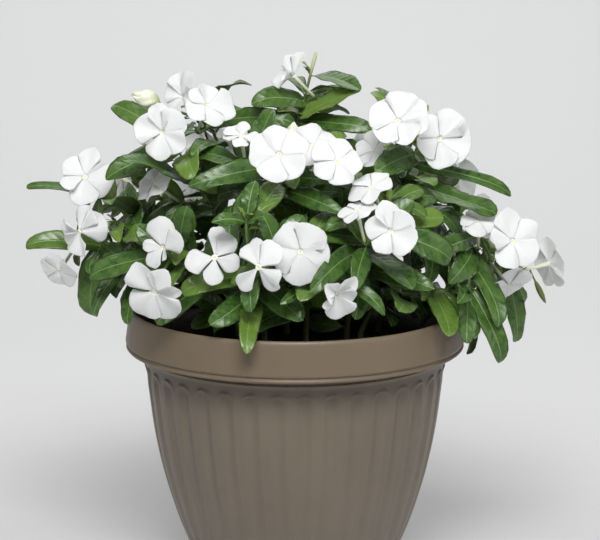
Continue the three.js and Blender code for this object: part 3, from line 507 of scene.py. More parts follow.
def petal_look():
    """White petals with fine lengthwise veins, and a yellow-green flush round the eye"""
    look = Look("white_petal", Roughness=0.62, Specular_IOR_Level=0.3, Subsurface_Weight=0.4,
                Subsurface_Radius=(1, 1, 1), Subsurface_Scale=0.003, Sheen_Weight=0.15)
    out, turn = look.coordinates("place")
    flush = look.fall(out, 0.09, 0.2)
    ray = look.node("ShaderNodeCombineXYZ", {0: look.times(turn, 34.0), 1: look.times(out, 1.6)}).outputs[0]
    vein = look.noise(1.0, 2.0, 0.5, where=ray)
    base = look.mix(look.ramp(vein, 0.3, 0.75), (0.855, 0.862, 0.866), (0.825, 0.835, 0.842))
    look.paint(look.stained(base, (flush, 0.25, (0.80, 0.82, 0.52))))
    look.bump(look.plus(look.times(look.noise(70, 2.0), 2.5), look.times(vein, 0.4)), 0.2, 0.0006)
    return look.material


def tube_look():
    look = Look("cream_tube", Roughness=0.55, Specular_IOR_Level=0.35)
    _, along = look.coordinates("place")
    cloud = look.ramp(look.noise(260, 3.0), 0.3, 0.7)
    base = look.mix(look.ramp(along, 0.02, 0.45), (0.42, 0.50, 0.22), (0.80, 0.82, 0.66))
    look.paint(look.stained(base, (cloud, 0.15, (0.66, 0.71, 0.46))))
    look.bump(cloud, 0.1, 0.0003)
    return look.material


def eye_look():
    look = Look("eye_of_bloom", Roughness=0.6, Specular_IOR_Level=0.3)
    out, _ = look.coordinates("place")
    base = look.mix(look.ramp(out, 0.1, 0.22), (0.58, 0.61, 0.34), (0.81, 0.82, 0.60))
    look.paint(look.mix(look.ramp(out, 0.3, 0.55), base, (0.86, 0.87, 0.80)))
    look.bump(look.noise(1500, 2.0), 0.3, 0.0003)
    return look.material


def backdrop_look():
    look = Look("pale_paper", Roughness=0.9, Specular_IOR_Level=0.1)
    base = look.mix(look.noise(1.3, 2.0), (0.735, 0.737, 0.740), (0.752, 0.754, 0.757))
    depth = look.distance_along(1)
    # Painted shade: the floor darkens towards the front, near the planter, where the shadows of the planter
    # and plant fall
    base = look.mix(look.ramp(depth, 0.2, 0.7), (0.700, 0.700, 0.703), base)
    look.paint(look.mix(look.ramp(depth, 0.06, 0.24), (0.61, 0.61, 0.614), base))
    return look.material


PLASTIC = plastic_look()
SOIL = soil_look()
LEAF_FACE = leaf_look("leaf_face", (0.027, 0.078, 0.012), (0.100, 0.190, 0.031), (0.20, 0.31, 0.10),
                      roughness=0.26, vein_share=0.12, bump=0.25)
LEAF_BACK = leaf_look("leaf_back", (0.085, 0.145, 0.045), (0.120, 0.195, 0.066), (0.24, 0.33, 0.15),
                      roughness=0.52, vein_share=0.22, bump=0.35)
STEM = stem_look()
PETAL = petal_look()
TUBE = tube_look()
EYE = eye_look()
BACKDROP = backdrop_look()


# Reading the frame

def welded(node):
    """The mesh of a frame node, its doubled points joined"""
    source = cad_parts[node]
    mesh = bmesh.new()
    mesh.from_mesh(source.data)
    mesh.transform(source.matrix_world)
    bmesh.ops.remove_doubles(mesh, verts=mesh.verts, dist=WELD)
    return mesh


def neighbours(vertex):
    return {edge.other_vert(vertex) for edge in vertex.link_edges}


def blade_walls(mesh, thickness):
    """The edges through the thickness of each blade, in order from one side of its root to the other"""
    walls = [edge for edge in mesh.edges if abs(edge.calc_length() - thickness) < SLACK]
    wall_at = {vertex: wall for wall in walls for vertex in wall.verts}
    linked = {wall: [] for wall in walls}
    for wall in walls:
        for face in wall.link_faces:
            third = next(vertex for vertex in face.verts if vertex not in wall.verts)
            if third in wall_at:
                linked[wall].append(wall_at[third])
    chains = []
    done = set()
    for wall in walls:
        if wall in done or len(linked[wall]) != 1:
            continue
        chain = [wall]
        while True:
            onward = [other for other in linked[chain[-1]] if other not in chain]
            if not onward:
                break
            chain.append(onward[0])
        done.update(chain)
        if len(chain) == WALLS_PER_BLADE:
            chains.append(chain)
    return chains


class Blade:
    """A leaf or a petal as the frame has it: two walls on each side of its tip, upper and under points"""

    def __init__(self, chain):
        first = chain[0].verts
        self.normal = (first[0].co - first[1].co).normalized()
        self.upper = []
        self.under = []
        for wall in chain:
            a, b = wall.verts
            high, low = (a, b) if (a.co - b.co).dot(self.normal) > 0 else (b, a)
            self.upper.append(high)
            self.under.append(low)
        self.sides = [np.array((u.co + v.co) / 2) for u, v in zip(self.upper, self.under)]
        self.tip = self.sides[2]
        self.middles = []
        self.points = {*self.upper, *self.under}

    def look_towards(self, way):
        """Turns the normal to the side of the blade that a direction points to"""
        if np.dot(self.normal, way) < 0:
            self.normal = -self.normal

    def find_middles(self):
        """The points on the midrib of a leaf's two rows, and the corners of the seat that it grows from"""
        ribs = set()
        for near, far in ((0, 4), (1, 3)):
            pair = set()
            for face in (self.upper, self.under):
                pair |= (neighbours(face[near]) & neighbours(face[far])) - self.points
            self.middles.append(np.mean([np.array(vertex.co) for vertex in pair], axis=0))
            ribs |= pair
        self.points |= ribs
        corners = set().union(*(neighbours(vertex) for vertex in self.points)) - self.points
        self.root = np.mean([np.array(vertex.co) for vertex in corners], axis=0)
        self.look_towards((self.sides[0] + self.sides[4]) / 2 - self.middles[0])


def away_from_heart(point):
    """The direction in which a smaller leaf looks: outwards, up, and towards the side that it is on"""
    look = (point - HEART).normalized() * 0.7
    return look + Vector((0, -0.5 if point.y < 0 else 0.2, 0.6))


# Leaves

def leaf_half_width(share, keenness):
    """The outline of a leaf, as a share of its full width, blunt or keen at its tip"""
    u = (share - PETIOLE) / (1 - PETIOLE)
    if not 0 < u < 1:
        return 0
    return LEAF_FULLNESS * (u / LEAF_WIDEST) ** 0.7 * ((1 - u) / (1 - LEAF_WIDEST)) ** keenness


def through(points, shares, share):
    """The place at a share on the smooth curve through a few points"""
    total = np.zeros(3)
    for i, point in enumerate(points):
        weight = 1.0
        for j, other in enumerate(shares):
            if i != j:
                weight *= (share - other) / (shares[i] - other)
        total += weight * point
    return total


class Leaf:
    """One leaf: its midrib's places, the direction it looks, its width, and its own small differences"""

    def __init__(self, spine, normal, width, seed, young=0.0):
        self.spine = spine
        self.normal = unit(np.array(normal))
        self.width = width
        self.length = float(norm(spine[3] - spine[0]))
        luck = random.Random(seed)
        self.fold = luck.uniform(0.12, 0.42)
        self.twist = luck.uniform(-0.3, 0.3)
        self.waves = luck.uniform(1.5, 3.3)
        self.phase = luck.uniform(0, 6.28)
        self.depth = luck.uniform(0.08, 0.27)
        self.droop = luck.uniform(0.0, 0.1)
        self.sweep = luck.uniform(-0.05, 0.05)
        self.keenness = luck.uniform(0.40, 0.66)
        hang = max(0.0, float(spine[0][2] - spine[3][2])) / self.length
        self.tone = min(1.0, max(0.0, 0.8 * luck.random() ** 1.7 - 0.3 * hang) + young)
        self.hook = luck.uniform(-0.05, 0.11)
        self.hook_side = luck.uniform(-0.06, 0.06)

    def row(self, share, columns):
        """The places across the leaf at a share of its length, and the direction it looks there"""
        centre = through(self.spine, SPINE_SHARES, share)
        ahead = unit(through(self.spine, SPINE_SHARES, share + 0.01) - centre)
        right = unit(np.cross(ahead, self.normal))
        right = right * math.cos(self.twist * share) + self.normal * math.sin(self.twist * share)
        up = np.cross(right, ahead)
        least = PETIOLE_HALF_WIDTH if share < 0.99 else TIP_HALF_WIDTH
        half = max(leaf_half_width(share, self.keenness) * self.width, least)
        centre = centre - self.normal * self.droop * self.length * share ** 3
        centre = centre + right * self.sweep * self.length * 4 * share * (1 - share)
        end = (max(0.0, share - 0.6) / 0.4) ** 2 * self.length
        centre = centre + (right * self.hook_side - self.normal * self.hook) * end
        places = []
        for column in columns:
            bend = self.fold * (math.sqrt(column * column + 0.006) - 0.36 * column * column)
            side = 1.0 if column > 0 else -1.0
            turn = self.waves * 2 * math.pi * share + self.phase + 1.3 * side
            wave = self.depth * column ** 2 * math.sin(turn)
            places.append(centre + right * column * half + up * half * (bend + wave * min(1, 3 * share)))
        return places, up, half


def grow_fine_leaf(piece, leaf):
    """The thin closed body of a leaf, thickest along its midrib"""
    upper, under, places, facts = [], [], [], []
    for share in LEAF_ROWS:
        points, up, half = leaf.row(share, LEAF_COLUMNS)
        for column, point in zip(LEAF_COLUMNS, points):
            thick = (1 - column * column) * (0.28 + 0.5 * (1 - share)) * MM
            upper.append(point + up * thick / 2)
            under.append(point - up * thick / 2)
            places.append((column * half * 10, share * leaf.length * 10))
            facts.append((share, leaf.tone))
    top, back = piece.shell(upper, under, len(LEAF_COLUMNS), places, facts)
    piece.quads(top[:, ::-1], 0)
    piece.quads(back, 1)


def proxy(leaf, start=0.16):
    """A leaf's plain surface, for finding the room for it"""
    shares = (start, 0.3, 0.5, 0.7, 0.85, 0.95, 1)
    columns = (-1, -0.4, 0.4, 1)
    points = [Vector(p) for share in shares for p in leaf.row(share, columns)[0]]
    faces = [(4 * r + c, 4 * r + c + 1, 4 * r + c + 5, 4 * r + c + 4) for r in range(6) for c in range(3)]
    return Room(points, faces)


class Room:
    """What is already in a place: a surface with the box about it"""

    def __init__(self, points, faces):
        self.points = np.array([tuple(p) for p in points])
        self.low = self.points.min(axis=0)
        self.high = self.points.max(axis=0)
        self.tree = BVHTree.FromPolygons([Vector(p) for p in self.points], faces)

    def meets(self, other):
        if np.any(self.low > other.high) or np.any(other.low > self.high):
            return False
        return bool(self.tree.overlap(other.tree))


def room_of(mesh):
    """The room that a mesh of the frame takes"""
    mesh.verts.index_update()
    return Room([v.co for v in mesh.verts], [[v.index for v in face.verts] for face in mesh.faces])


# Petals

def petal_reach(column, point):
    """How far out a petal goes, along its rays from one side to the other, with its small point"""
    fuller, other = 0.23 * max(column, 0) ** 3.2, 0.31 * max(-column, 0) ** 2.5
    return 0.985 - fuller - other + point * math.exp(-((column + 0.08) / 0.16) ** 2)


class Petal:
    """One petal: its own directions along, over and out of its face, its span and breadth"""

    def __init__(self, blade, eye, normal, seed):
        over = unit(blade.sides[0] - blade.sides[4])
        face = np.array(blade.normal)
        along = np.cross(over, face)
        if np.dot(along, blade.tip - eye) < 0:
            over, along = -over, -along
        middle = (blade.sides[0] + blade.sides[4]) / 2
        self.span = float(np.dot(middle - eye, along) / PETAL_SIDES_AT)
        half = float(norm(blade.sides[0] - blade.sides[4]) / 2)
        self.breadth = half / (PETAL_SIDES_AT * PETAL_WAIST * self.span)
        luck = random.Random(seed)
        self.phase = luck.uniform(0, 6.28)
        self.curl = luck.uniform(-0.05, 0.04)
        self.reflex = luck.uniform(0.06, 0.22)
        self.crease = luck.uniform(-0.6, 0.6)
        self.crease_depth = luck.uniform(0.0, 0.03)
        self.bend = luck.choice([0, 0, 0, 0.2, 0.3]) * luck.choice([-1, 1])
        self.nick = luck.uniform(0.0, 0.034)
        self.point = luck.uniform(0.0, 0.07)
        self.fold = 0.0
        self.wave = (0.0, 5, 0.0)
        self.turn, self.hand = 0.0, 1.0
        self.raised = 1 if np.dot(over, normal) > 0 else -1
        self.edges = {1: 0.0, -1: 0.0}
        level = unit(np.cross(normal, along))
        level = level if np.dot(level, over) > 0 else -level
        over = unit(PETAL_TILT_KEPT * over + (1 - PETAL_TILT_KEPT) * level)
        face = np.cross(along, over)
        self.over, self.face, self.along = over, face if np.dot(face, normal) > 0 else -face, along
        self.chance = tuple(luck.uniform(*span) for span in ((4, 12), (-3, 3), (0.97, 1.06), (0.93, 1.08)))

    def clock(self, normal):
        """Where the petal points, in degrees clockwise from the top of its bloom"""
        upward = unit(np.array((0, 0, 1)) - normal * normal[2])
        rightward = np.cross(upward, normal)
        return math.degrees(math.atan2(np.dot(self.along, rightward), np.dot(self.along, upward)))

    def stand(self, normal, pose=None):
        """Lifts the petal forward and rolls it about its own length, as chance or a pose has it"""
        lift, roll, length, breadth = self.chance
        if pose:
            wanted, lift, length, breadth, fold, roll = (*pose, 0, 0)[:6]
            length, breadth, self.fold = length / 100, breadth / 100, fold / 100
            turn = max(-LARGEST_TURN, min(LARGEST_TURN, clock_gap(wanted, self.clock(normal))))
            ways = (self.along, self.face, self.over)
            self.along, self.face, self.over = (turned(way, normal, -turn) for way in ways)
        self.span *= length
        self.breadth *= breadth
        axis = np.cross(self.along, self.face)
        self.along, self.face = turned(self.along, axis, lift), turned(self.face, axis, lift)
        self.over, self.face = turned(self.over, self.along, roll), turned(self.face, self.along, roll)

    def place(self, eye, share, column):
        """The place at a share of the petal's length, on its ray at a share of its half angle"""
        angle = column * PETAL_HALF_ANGLE * (0.80 + 0.20 * share ** 0.7) * self.breadth ** 0.6
        edge = 1 + self.nick * math.sin(6.1 * column + self.phase) + 0.4 * self.nick * math.sin(14 * column)
        radius = share * petal_reach(column, self.point) * self.span * edge
        out = radius * math.cos(angle)
        side = radius * math.sin(angle) * self.breadth ** 0.4
        rise = -self.reflex * share * share
        depth, number, start = self.wave
        rise += depth * share ** 2.5 * math.sin(number * (self.turn + self.hand * angle) + start)
        rise += self.edges[1 if column > 0 else -1] * share * column ** 2 * (3 - 2 * abs(column))
        rise += self.curl * share ** 2 * abs(column) ** 3
        rise -= self.crease_depth * math.exp(-((column - self.crease) / 0.16) ** 2) * share * (1.3 - share)
        rise -= 0.015 * math.exp(-(column / 0.2) ** 2) * 4 * share * (1 - share)
        rise += abs(self.bend) * share ** 1.5 * max(0, column * math.copysign(1, self.bend) - 0.25)
        rise += self.fold * share * abs(column) ** 1.3
        return eye + self.along * out + self.over * side + self.face * rise * self.span


def pose_petals(petals, normal, poses):
    """Gives each listed pose to the nearest petal that is still free, and chance the rest"""
    free = list(petals)
    for pose in poses:
        nearest = min(free, key=lambda petal: abs(clock_gap(petal.clock(normal), pose[0])))
        nearest.stand(normal, pose)
        free.remove(nearest)
    for petal in free:
        petal.stand(normal)


def settle_petals(petals, eye, normal, seed):
    """Gives a bloom one ruffled rim, and lays the overlapping edges of its petals together"""
    luck = random.Random(seed)
    wave = (luck.uniform(0.03, 0.09), luck.choice([4, 5, 6, 7]), luck.uniform(0, 6.28))
    for petal in petals:
        petal.wave = wave
        petal.turn = math.radians(petal.clock(normal))
        petal.hand = 1 if np.dot(petal.over, turned(petal.along, normal, -1) - petal.along) > 0 else -1
    shares, columns = np.linspace(0.35, 0.95, 13), np.linspace(-1, 1, 21)
    grids = [np.array([petal.place(eye, s, c) for s in shares for c in columns]) for petal in petals]
    moves = []
    for petal in petals:
        for side in (1, -1):
            edge = petal.place(eye, EDGE_SHARE, EDGE_COLUMN * side)
            found = []
            for other, grid in zip(petals, grids):
                if other is not petal:
                    height = (grid - edge) @ petal.face
                    apart = norm(grid - edge - np.outer(height, petal.face), axis=1)
                    found.append((float(apart.min()), float(height[apart.argmin()])))
            apart, height = min(found)
            if apart < EDGE_NEAR:
                move = max(-EDGE_MOVE, min(EDGE_MOVE, height / 2)) + side * petal.raised * PETAL_OVERLAP / 2
                moves.append((petal, side, move / (EDGE_SHARE * EDGE_WEIGHT * petal.span)))
    for petal, side, move in moves:
        petal.edges[side] = move


def grow_fine_petal(piece, petal, eye):
    """The thin closed body of a petal"""
    upper, under, places = [], [], []
    for share in PETAL_ROWS:
        for column in PETAL_COLUMNS:
            edge = max(abs(column), (share - 0.85) / 0.15)
            thick = (1 - edge ** 4) * (0.5 - 0.2 * share) * MM
            point = petal.place(eye, share, column)
            upper.append(point + petal.face * thick / 2)
            under.append(point - petal.face * thick / 2)
            places.append((share, 0.5 + column * 0.35))
    top, back = piece.shell(upper, under, len(PETAL_COLUMNS), places)
    back[-1, :] = top[-1, :]
    piece.quads(top, 0)
    piece.quads(back[:, ::-1], 0)
    piece.quads(np.stack([back[0], top[0]]), 0)


def add_lathe(piece, centre, normal, side, profile, sides, look):
    """A round body about an axis: places along the axis and radii, in millimetres"""
    points, places = [], []
    for i, (along, radius) in enumerate(profile):
        for _, ray in rays(normal, side, sides):
            points.append(centre + normal * along * MM + ray * radius * MM)
            places.append((radius / 3.2, i / (len(profile) - 1)))
    piece.closed_tube(points, sides, look, places)


def add_sepals(piece, foot, normal, side, seed, look):
    """The five narrow green points of the cup under a bloom"""
    for _, ray in rays(normal, side, SEPALS, 0.3 * (seed % 3)):
        round_way = np.cross(normal, ray)
        points = []
        for out, along, half in SEPAL_ROWS:
            centre = foot + ray * out * MM + normal * along * MM
            lift, aside = ray * SEPAL_LIFT, round_way * half * MM
            points += [centre - aside, centre + lift, centre + aside, centre - lift]
        piece.quads(piece.rings(points, 4), look)


# The plant, from the frame

def nodes_of(kind):
    return sorted(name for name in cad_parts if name.startswith(kind))


def mean_place(places):
    return sum(places, Vector()) / len(places)


leaves = {}
rods = {}
rooms = []
blooms = []
stem_nodes = nodes_of("stem_")

for number, node in enumerate(nodes_of("bloom_")):
    mesh = welded(node)
    chains = blade_walls(mesh, PETAL_THICKNESS)
    petal_points = {v for chain in chains for wall in chain for v in wall.verts}
    ring_points = [v for v in mesh.verts if v not in petal_points]
    throat = mean_place([v.co for v in ring_points if neighbours(v) & petal_points])
    foot_ring = [v.co for v in ring_points if not neighbours(v) & petal_points]
    normal = (throat - mean_place(foot_ring)).normalized()
    foot = np.array(min(foot_ring, key=lambda p: p.dot(normal)))
    throat, normal = np.array(throat), np.array(normal)
    foot = throat + normal * np.dot(foot - throat, normal)
    eye = throat + normal * 0.05 * MM
    blades = [Blade(chain) for chain in chains]
    for blade in blades:
        blade.look_towards(normal)
    petals = [Petal(blade, eye, normal, 100 * number + k) for k, blade in enumerate(blades)]
    pose_petals(petals, normal, PETAL_POSES.get(node.replace("bloom_", ""), []))
    settle_petals(petals, eye, normal, node)
    blooms.append({"node": node, "seed": number, "eye": eye, "normal": normal, "foot": foot,
                   "petals": petals})
    rooms.append(room_of(mesh))
    mesh.free()

for node in stem_nodes:
    mesh = welded(node)
    blades = [Blade(chain) for chain in blade_walls(mesh, LEAF_THICKNESS)]
    leaves[node] = []
    for blade in blades:
        blade.find_middles()
        spine = [blade.root, *blade.middles, blade.tip]
        width = float(norm(blade.sides[0] - blade.sides[4])) / (2 * FRAME_HALF_WIDTH)
        seed = int(1e6 * abs(blade.tip[0] + 3 * blade.tip[1] + 7 * blade.tip[2]))
        young = 0.35 if norm(blade.tip - blade.root) < YOUNG_LENGTH else 0.0
        leaf = Leaf(spine, blade.normal, width, seed, young)
        leaves[node].append(leaf)
        rooms.append(proxy(leaf))
    gone = {v for blade in blades for v in blade.points}
    bmesh.ops.delete(mesh, geom=list(gone), context="VERTS")
    bmesh.ops.holes_fill(mesh, edges=[e for e in mesh.edges if e.is_boundary], sides=4)
    rods[node] = mesh
    rooms.append(room_of(mesh))


def covers_a_bloom(room):
    """Whether a leaf would stand before a bloom's face, or between it and the front"""
    front = np.array(CAMERA_PLACE)
    for bloom in blooms:
        reach = 0.9 * bloom["petals"][0].span
        offsets = room.points - bloom["eye"]
        ways = [(bloom["normal"], -1 * MM)]
        if bloom["eye"][1] < SEEN_FROM_FRONT:
            ways.append((unit(front - bloom["eye"]), 2 * MM))
        for way, least in ways:
            ahead = offsets @ way
            aside = norm(offsets - np.outer(ahead, way), axis=1)
            limit = CLEAR_OF_FACE if way is bloom["normal"] else 1.0
            if np.any((ahead > least) & (ahead < limit) & (aside < reach)):
                return True
    return False


def add_where_free(leaf, room, node):
    """Adds a leaf to a stem, unless it covers a bloom or meets anything"""
    if not covers_a_bloom(room) and not any(room.meets(other) for other in rooms):
        rooms.append(room)
        leaves[node].append(leaf)


def filler(face, luck):
    """A smaller leaf that grows straight out of a stem's side"""
    corners = [np.array(v.co) for v in face.verts]
    weights = np.array([luck.random() + 0.1 for _ in corners])
    root = sum(w * c for w, c in zip(weights / weights.sum(), corners))
    from_heart = root - np.array(HEART)
    from_heart[2] *= 0.35
    way = unit(np.array(face.normal) * 0.9 + unit(from_heart) * luck.uniform(0.1, 0.6)
               + np.array([luck.uniform(*span) for span in ((-0.4, 0.4), (-0.4, 0.4), (-0.25, 0.5))]))
    length = luck.uniform(24, 50) * MM
    tip = root + way * length
    look = np.array(away_from_heart(Vector((root + tip) / 2)))
    look = look + np.array([luck.uniform(-0.35, 0.35) for _ in range(3)])
    normal = unit(look - way * np.dot(look, way))
    arch = luck.uniform(0.05, 0.15) * length
    middles = [root + way * length * s + normal * arch * 4 * s * (1 - s) for s in SPINE_SHARES[1:3]]
    young = 0.2 if length < YOUNG_LENGTH else 0
    return Leaf([root, *middles, tip], normal, length * luck.uniform(0.36, 0.44), luck.random(), young)


for number, node in enumerate(stem_nodes):
    faces = [f for f in rods[node].faces if f.calc_center_median().z > SOIL_TOP + ROOTS_OVER_SOIL]
    faces.sort(key=lambda f: tuple(round(c, 5) for c in f.calc_center_median()))
    areas = [f.calc_area() for f in faces]
    for k in range(FILLERS_PER_STEM):
        luck = random.Random(1000 * number + k)
        face = luck.choices(faces, areas)[0]
        leaf = filler(face, luck)
        height = leaf.spine[3][2]
        tip = Vector(leaf.spine[3]) - HEART
        outside = sum((tip[axis] / DOME[axis]) ** 2 for axis in range(3)) > 1
        in_open_place = tip.y < OPEN_BEFORE and height < OPEN_UNDER and abs(tip.x) < OPEN_WIDTH
        if outside or in_open_place or height < SOIL_TOP + TIPS_OVER_SOIL:
            continue
        add_where_free(leaf, proxy(leaf), node)

for number, node in enumerate(stem_nodes):
    top = max(leaves[node], key=lambda leaf: leaf.spine[0][2]).spine[0]
    for k in range(CROWN_LEAVES):
        luck = random.Random(77 * number + k)
        angle = 2 * math.pi * (k + 0.4 * luck.random()) / CROWN_LEAVES
        way = unit(np.array((math.cos(angle), math.sin(angle), luck.uniform(0.8, 2.4))))
        length = luck.uniform(9, 16) * MM
        look = unit(np.array((0, 0, 1)) - way * way[2])
        spine = [top + way * length * s + look * length * 0.5 * s * (1 - s) for s in SPINE_SHARES]
        leaf = Leaf(spine, look, length * 0.3, luck.random(), 0.7)
        add_where_free(leaf, proxy(leaf, 0.3), node)

for node in stem_nodes:
    piece = Piece()
    for leaf in leaves[node]:
        grow_fine_leaf(piece, leaf)
    dressed(piece.object(node.replace("stem", "foliage"), [LEAF_FACE, LEAF_BACK]), [node])
    mesh = rods[node]
    bmesh.ops.join_triangles(mesh, faces=mesh.faces, angle_face_threshold=0.7, angle_shape_threshold=1.2)
    data = bpy.data.meshes.new(node.replace("stem", "stalks"))
    mesh.to_mesh(data)
    mesh.free()
    stalks = put(data.name, data)
    rounding = stalks.modifiers.new("rounding", "SUBSURF")
    rounding.levels = 2
    rounding.render_levels = 2
    swelling = stalks.modifiers.new("swelling", "DISPLACE")
    swelling.strength = 0.45 * MM
    swelling.mid_level = 0
    shape = bpy.data.meshes.new_from_object(stalks.evaluated_get(bpy.context.evaluated_depsgraph_get()))
    stalks.modifiers.clear()
    stalks.data = shape
    shape.materials.clear()
    shape.materials.append(STEM)
    shape.polygons.foreach_set("use_smooth", [True] * len(shape.polygons))
    dressed(stalks, [node])

for bloom in blooms:
    piece = Piece()
    foot, eye, normal = bloom["foot"], bloom["eye"], bloom["normal"]
    for petal in bloom["petals"]:
        grow_fine_petal(piece, petal, eye)
    side = bloom["petals"][0].along
    side = unit(side - normal * np.dot(side, normal))
    add_lathe(piece, foot, normal, side, TUBE_PROFILE, 12, 1)
    add_lathe(piece, eye, normal, side, EYE_PROFILE, 15, 2)
    add_sepals(piece, foot, normal, side, bloom["seed"], 3)
    node = bloom["node"]
    dressed(piece.object(node.replace("bloom", "petals"), [PETAL, TUBE, EYE, STEM]), [node])


# Buds: a green one that hangs at the right, and furled petals wound about each other

hanging = Piece()
start, end = (np.array(point) for point in HANGING_BUD)
down = unit(end - start)
reach = float(norm(end - start)) / MM
add_lathe(hanging, start, down, unit(np.cross(down, (0, 1, 0))),
          [(share * reach, radius) for share, radius in HANGING_BUD_PROFILE], 16, 0)
dressed(hanging.object("hanging_bud", [STEM]), ["stem_far_right"])


def bud_of(node):
    """The foot, the axis, the length and the largest radius of a frame's bud"""
    mesh = welded(node)
    points = np.array([tuple(v.co) for v in mesh.verts])
    mesh.free()
    centre = points.mean(axis=0)
    _, _, axes = np.linalg.svd(points - centre)
    axis = axes[0]
    reach = (points - centre) @ axis
    radii = norm((points - centre) - np.outer(reach, axis), axis=1)
    low, high = points[reach < reach.min() + 0.5 * MM], points[reach > reach.max() - 0.5 * MM]
    spread = [norm(end - end.mean(axis=0), axis=1).mean() for end in (low, high)]
    foot, tip = (low, high) if spread[0] > spread[1] else (high, low)
    foot, tip = foot.mean(axis=0), tip.mean(axis=0)
    length = norm(tip - foot)
    return foot, unit(tip - foot), length, radii.max()


for node in nodes_of("bud_"):
    foot, axis, length, radius = bud_of(node)
    side = unit(np.cross(axis, (0.3, 0.2, 0.9)))
    piece = Piece()
    points, places = [], []
    for share in np.linspace(0, 1, BUD_ROWS):
        swell = 1.3 * MM * (1 - share) + radius * math.sin(math.pi * min(1, share ** 0.9)) ** 0.75
        swell = max(swell, 0.3 * MM)
        for angle, ray in rays(axis, side, BUD_SIDES):
            wound = (BUD_FOLDS * angle / (2 * math.pi) + 1.6 * share) % 1
            ridge = 1 + 0.34 * (wound - 0.5) * min(1, 3 * share)
            points.append(foot + axis * share * length * (1 - 0.2 * wound * share) + ray * swell * ridge)
            places.append((share, share))
    piece.closed_tube(points, BUD_SIDES, 0, places)
    add_sepals(piece, foot, axis, side, 1, 1)
    dressed(piece.object(node.replace("bud", "furled_bud"), [TUBE, STEM]), [node])


# The planter

def flute(height, angle, radius):
    """How far the wall stands back in a flute, or proud on the crescent lip over its arched top"""
    pitch = 2 * math.pi / FLUTES
    off = (angle - FLUTE_PHASE + pitch / 2) % pitch - pitch / 2
    over = max(0.0, height - (FLUTE_TOP - FLUTE_HALF_WIDTH))
    far = math.hypot(off * radius, over)
    foot_fade = min(1.0, max(0.0, (height - 8 * MM) / (18 * MM)))
    fullness = (0.5 + 0.5 * height / FLUTE_TOP) * foot_fade
    groove = max(0.0, 1 - (far / FLUTE_HALF_WIDTH) ** 2) ** 1.4 * fullness
    beyond = (far - FLUTE_HALF_WIDTH - LIP_HALF_WIDTH) / (0.8 * LIP_HALF_WIDTH)
    crest = math.exp(-beyond ** 2) * (over / far) ** 1.5 if over > 0 else 0.0
    return crest * FLUTE_LIP - groove * FLUTE_DEPTH


def planter_profile():
    """The planter's outline from its foot over the rim to the inside of its floor, as heights and radii"""
    wall, rim = spline(np.array(WALL) * MM, 4), spline(np.array(RIM) * MM, 2)
    low = [point for point in wall if point[0] < 149 * MM]
    heights = np.linspace(150 * MM, 165.5 * MM, 30)
    known = np.array(wall)
    arches = [np.array([h, np.interp(h, known[:, 0], known[:, 1])]) for h in heights]
    high = [point for point in wall if point[0] > 166 * MM]
    return [*(np.array(FOOT) * MM), *low, *arches, *high, *rim, *(np.array(INSIDE) * MM)]


def build_planter():
    piece = Piece()
    angles = [FLUTE_PHASE + 2 * math.pi * k / WALL_STEPS for k in range(WALL_STEPS)]
    profile = planter_profile()
    outer = len(profile) - len(INSIDE)
    points = []
    for i, (height, radius) in enumerate(profile):
        fluted = 8 * MM < height < 168 * MM and i < outer
        for angle in angles:
            reach = radius + (flute(height, angle, radius) if fluted else 0)
            points.append((reach * math.cos(angle), reach * math.sin(angle), height))
    index = piece.rings(points, WALL_STEPS)
    piece.quads(index, 0)
    return piece.object("planter", [PLASTIC]), index


def close_floor(planter, index):
    """The planter's floor, from below and from within, with its drain holes"""
    mesh = bmesh.new()
    mesh.from_mesh(planter.data)
    mesh.verts.ensure_lookup_table()
    wall_loops = [[mesh.verts[int(i)] for i in row] for row in (index[0, :-1], index[-1, :-1])]
    below, within = FOOT[0][0] * MM, INSIDE[-1][0] * MM
    holes = []
    for middle in circle(DRAIN_CIRCLE, 0, DRAIN_HOLES):
        rims = [circle(DRAIN_RADIUS, height, DRAIN_CORNERS, 0.0, middle) for height in (below, within)]
        holes.append([[mesh.verts.new(point) for point in rim] for rim in rims])
    for level, wall_loop in enumerate(wall_loops):
        edges = []
        for loop in [wall_loop, *[hole[level] for hole in holes]]:
            for a, b in zip(loop, loop[1:] + loop[:1]):
                edges.append(mesh.edges.get((a, b)) or mesh.edges.new((a, b)))
        bmesh.ops.triangle_fill(mesh, edges=edges, use_beauty=True)
    for low, high in holes:
        for i in range(DRAIN_CORNERS):
            j = (i + 1) % DRAIN_CORNERS
            mesh.faces.new((low[i], low[j], high[j], high[i]))
    bmesh.ops.recalc_face_normals(mesh, faces=mesh.faces)
    mesh.to_mesh(planter.data)
    mesh.free()


planter, planter_index = build_planter()
close_floor(planter, planter_index)
dressed(planter, ["pot"])


# The soil

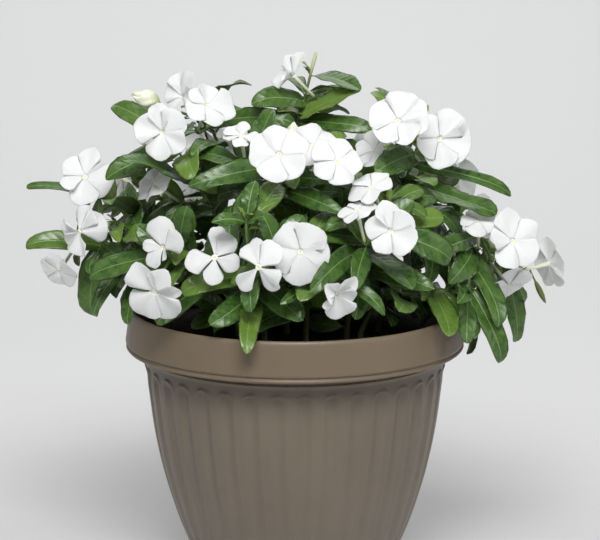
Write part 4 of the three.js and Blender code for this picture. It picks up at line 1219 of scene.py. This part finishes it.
def build_soil():
    """A rough, slightly domed top on a plain body that fills the planter"""
    piece = Piece()
    luck = random.Random(7)
    points = []
    spans = ((25, 160), (25, 160), (0, 6.28), (0.2, 0.9))
    waves = [[luck.uniform(*span) for span in spans] for _ in range(24)]
    for r in range(SOIL_RINGS + 1):
        radius = SOIL_RADIUS * (r / SOIL_RINGS)
        for x, y, _ in circle(radius, 0, SOIL_STEPS, 0.5 * (r % 2)):
            rough = sum(size * math.sin(a * x + phase) * math.cos(b * y - phase)
                        for a, b, phase, size in waves)
            height = SOIL_TOP - (SOIL_TOP - SOIL_EDGE) * (r / SOIL_RINGS) ** 2 + rough * 0.35 * MM
            height += luck.uniform(-0.6, 0.6) * MM
            points.append((x, y, height))
    for height, radius in SOIL_BODY:
        points += circle(radius * MM, height * MM, SOIL_STEPS)
    index = piece.rings(points, SOIL_STEPS)
    index[0, :] = index[0, 0]
    piece.quads(index[:, ::-1], 0)
    piece.faces.append([int(i) for i in index[-1, :-1]])
    piece.looks.append(0)
    return piece.object("potting_soil", [SOIL])


dressed(build_soil(), ["soil"])


# The stage, the lights and the camera

def build_backdrop():
    """A floor that turns up into a wall in one smooth sweep"""
    level = STAGE_BACK - STAGE_BEND
    profile = [(-STAGE_SIDE, 0.0), (-1.0, 0.0), (0.5, 0.0), (level, 0.0)]
    profile += [(level + STAGE_BEND * math.sin(a), STAGE_BEND - STAGE_BEND * math.cos(a))
                for a in np.linspace(0.08, math.pi / 2, 20)]
    profile.append((STAGE_BACK, STAGE_SIDE))
    piece = Piece()
    columns = np.linspace(-STAGE_SIDE, STAGE_SIDE, STAGE_COLUMNS)
    piece.add([(x, y, z) for y, z in profile for x in columns])
    piece.quads(np.arange(len(profile) * STAGE_COLUMNS).reshape(-1, STAGE_COLUMNS), 0)
    return piece.object("backdrop", [BACKDROP])


backdrop = build_backdrop()

for name, (place, aim, width, height, power) in SOFTBOXES.items():
    light = bpy.data.lights.new(name, "AREA")
    light.shape = "RECTANGLE"
    light.size = width
    light.size_y = height
    light.energy = power
    lamp = put(name, light)
    lamp.location = place
    lamp.rotation_euler = (Vector(aim) - Vector(place)).to_track_quat("-Z", "Y").to_euler()

world = bpy.data.worlds.new("studio")
world.use_nodes = True
background = world.node_tree.nodes["Background"]
background.inputs[0].default_value = (1, 1, 1, 1)
background.inputs[1].default_value = WORLD_STRENGTH
bpy.context.scene.world = world

camera_data = bpy.data.cameras.new("camera")
camera_data.lens = CAMERA_LENS
camera_data.sensor_width = 36
camera = put("camera", camera_data)
camera.location = CAMERA_PLACE
camera.rotation_euler = (math.pi / 2 - CAMERA_PITCH, 0, 0)
bpy.context.scene.camera = camera
bpy.context.scene.view_settings.view_transform = "Standard"
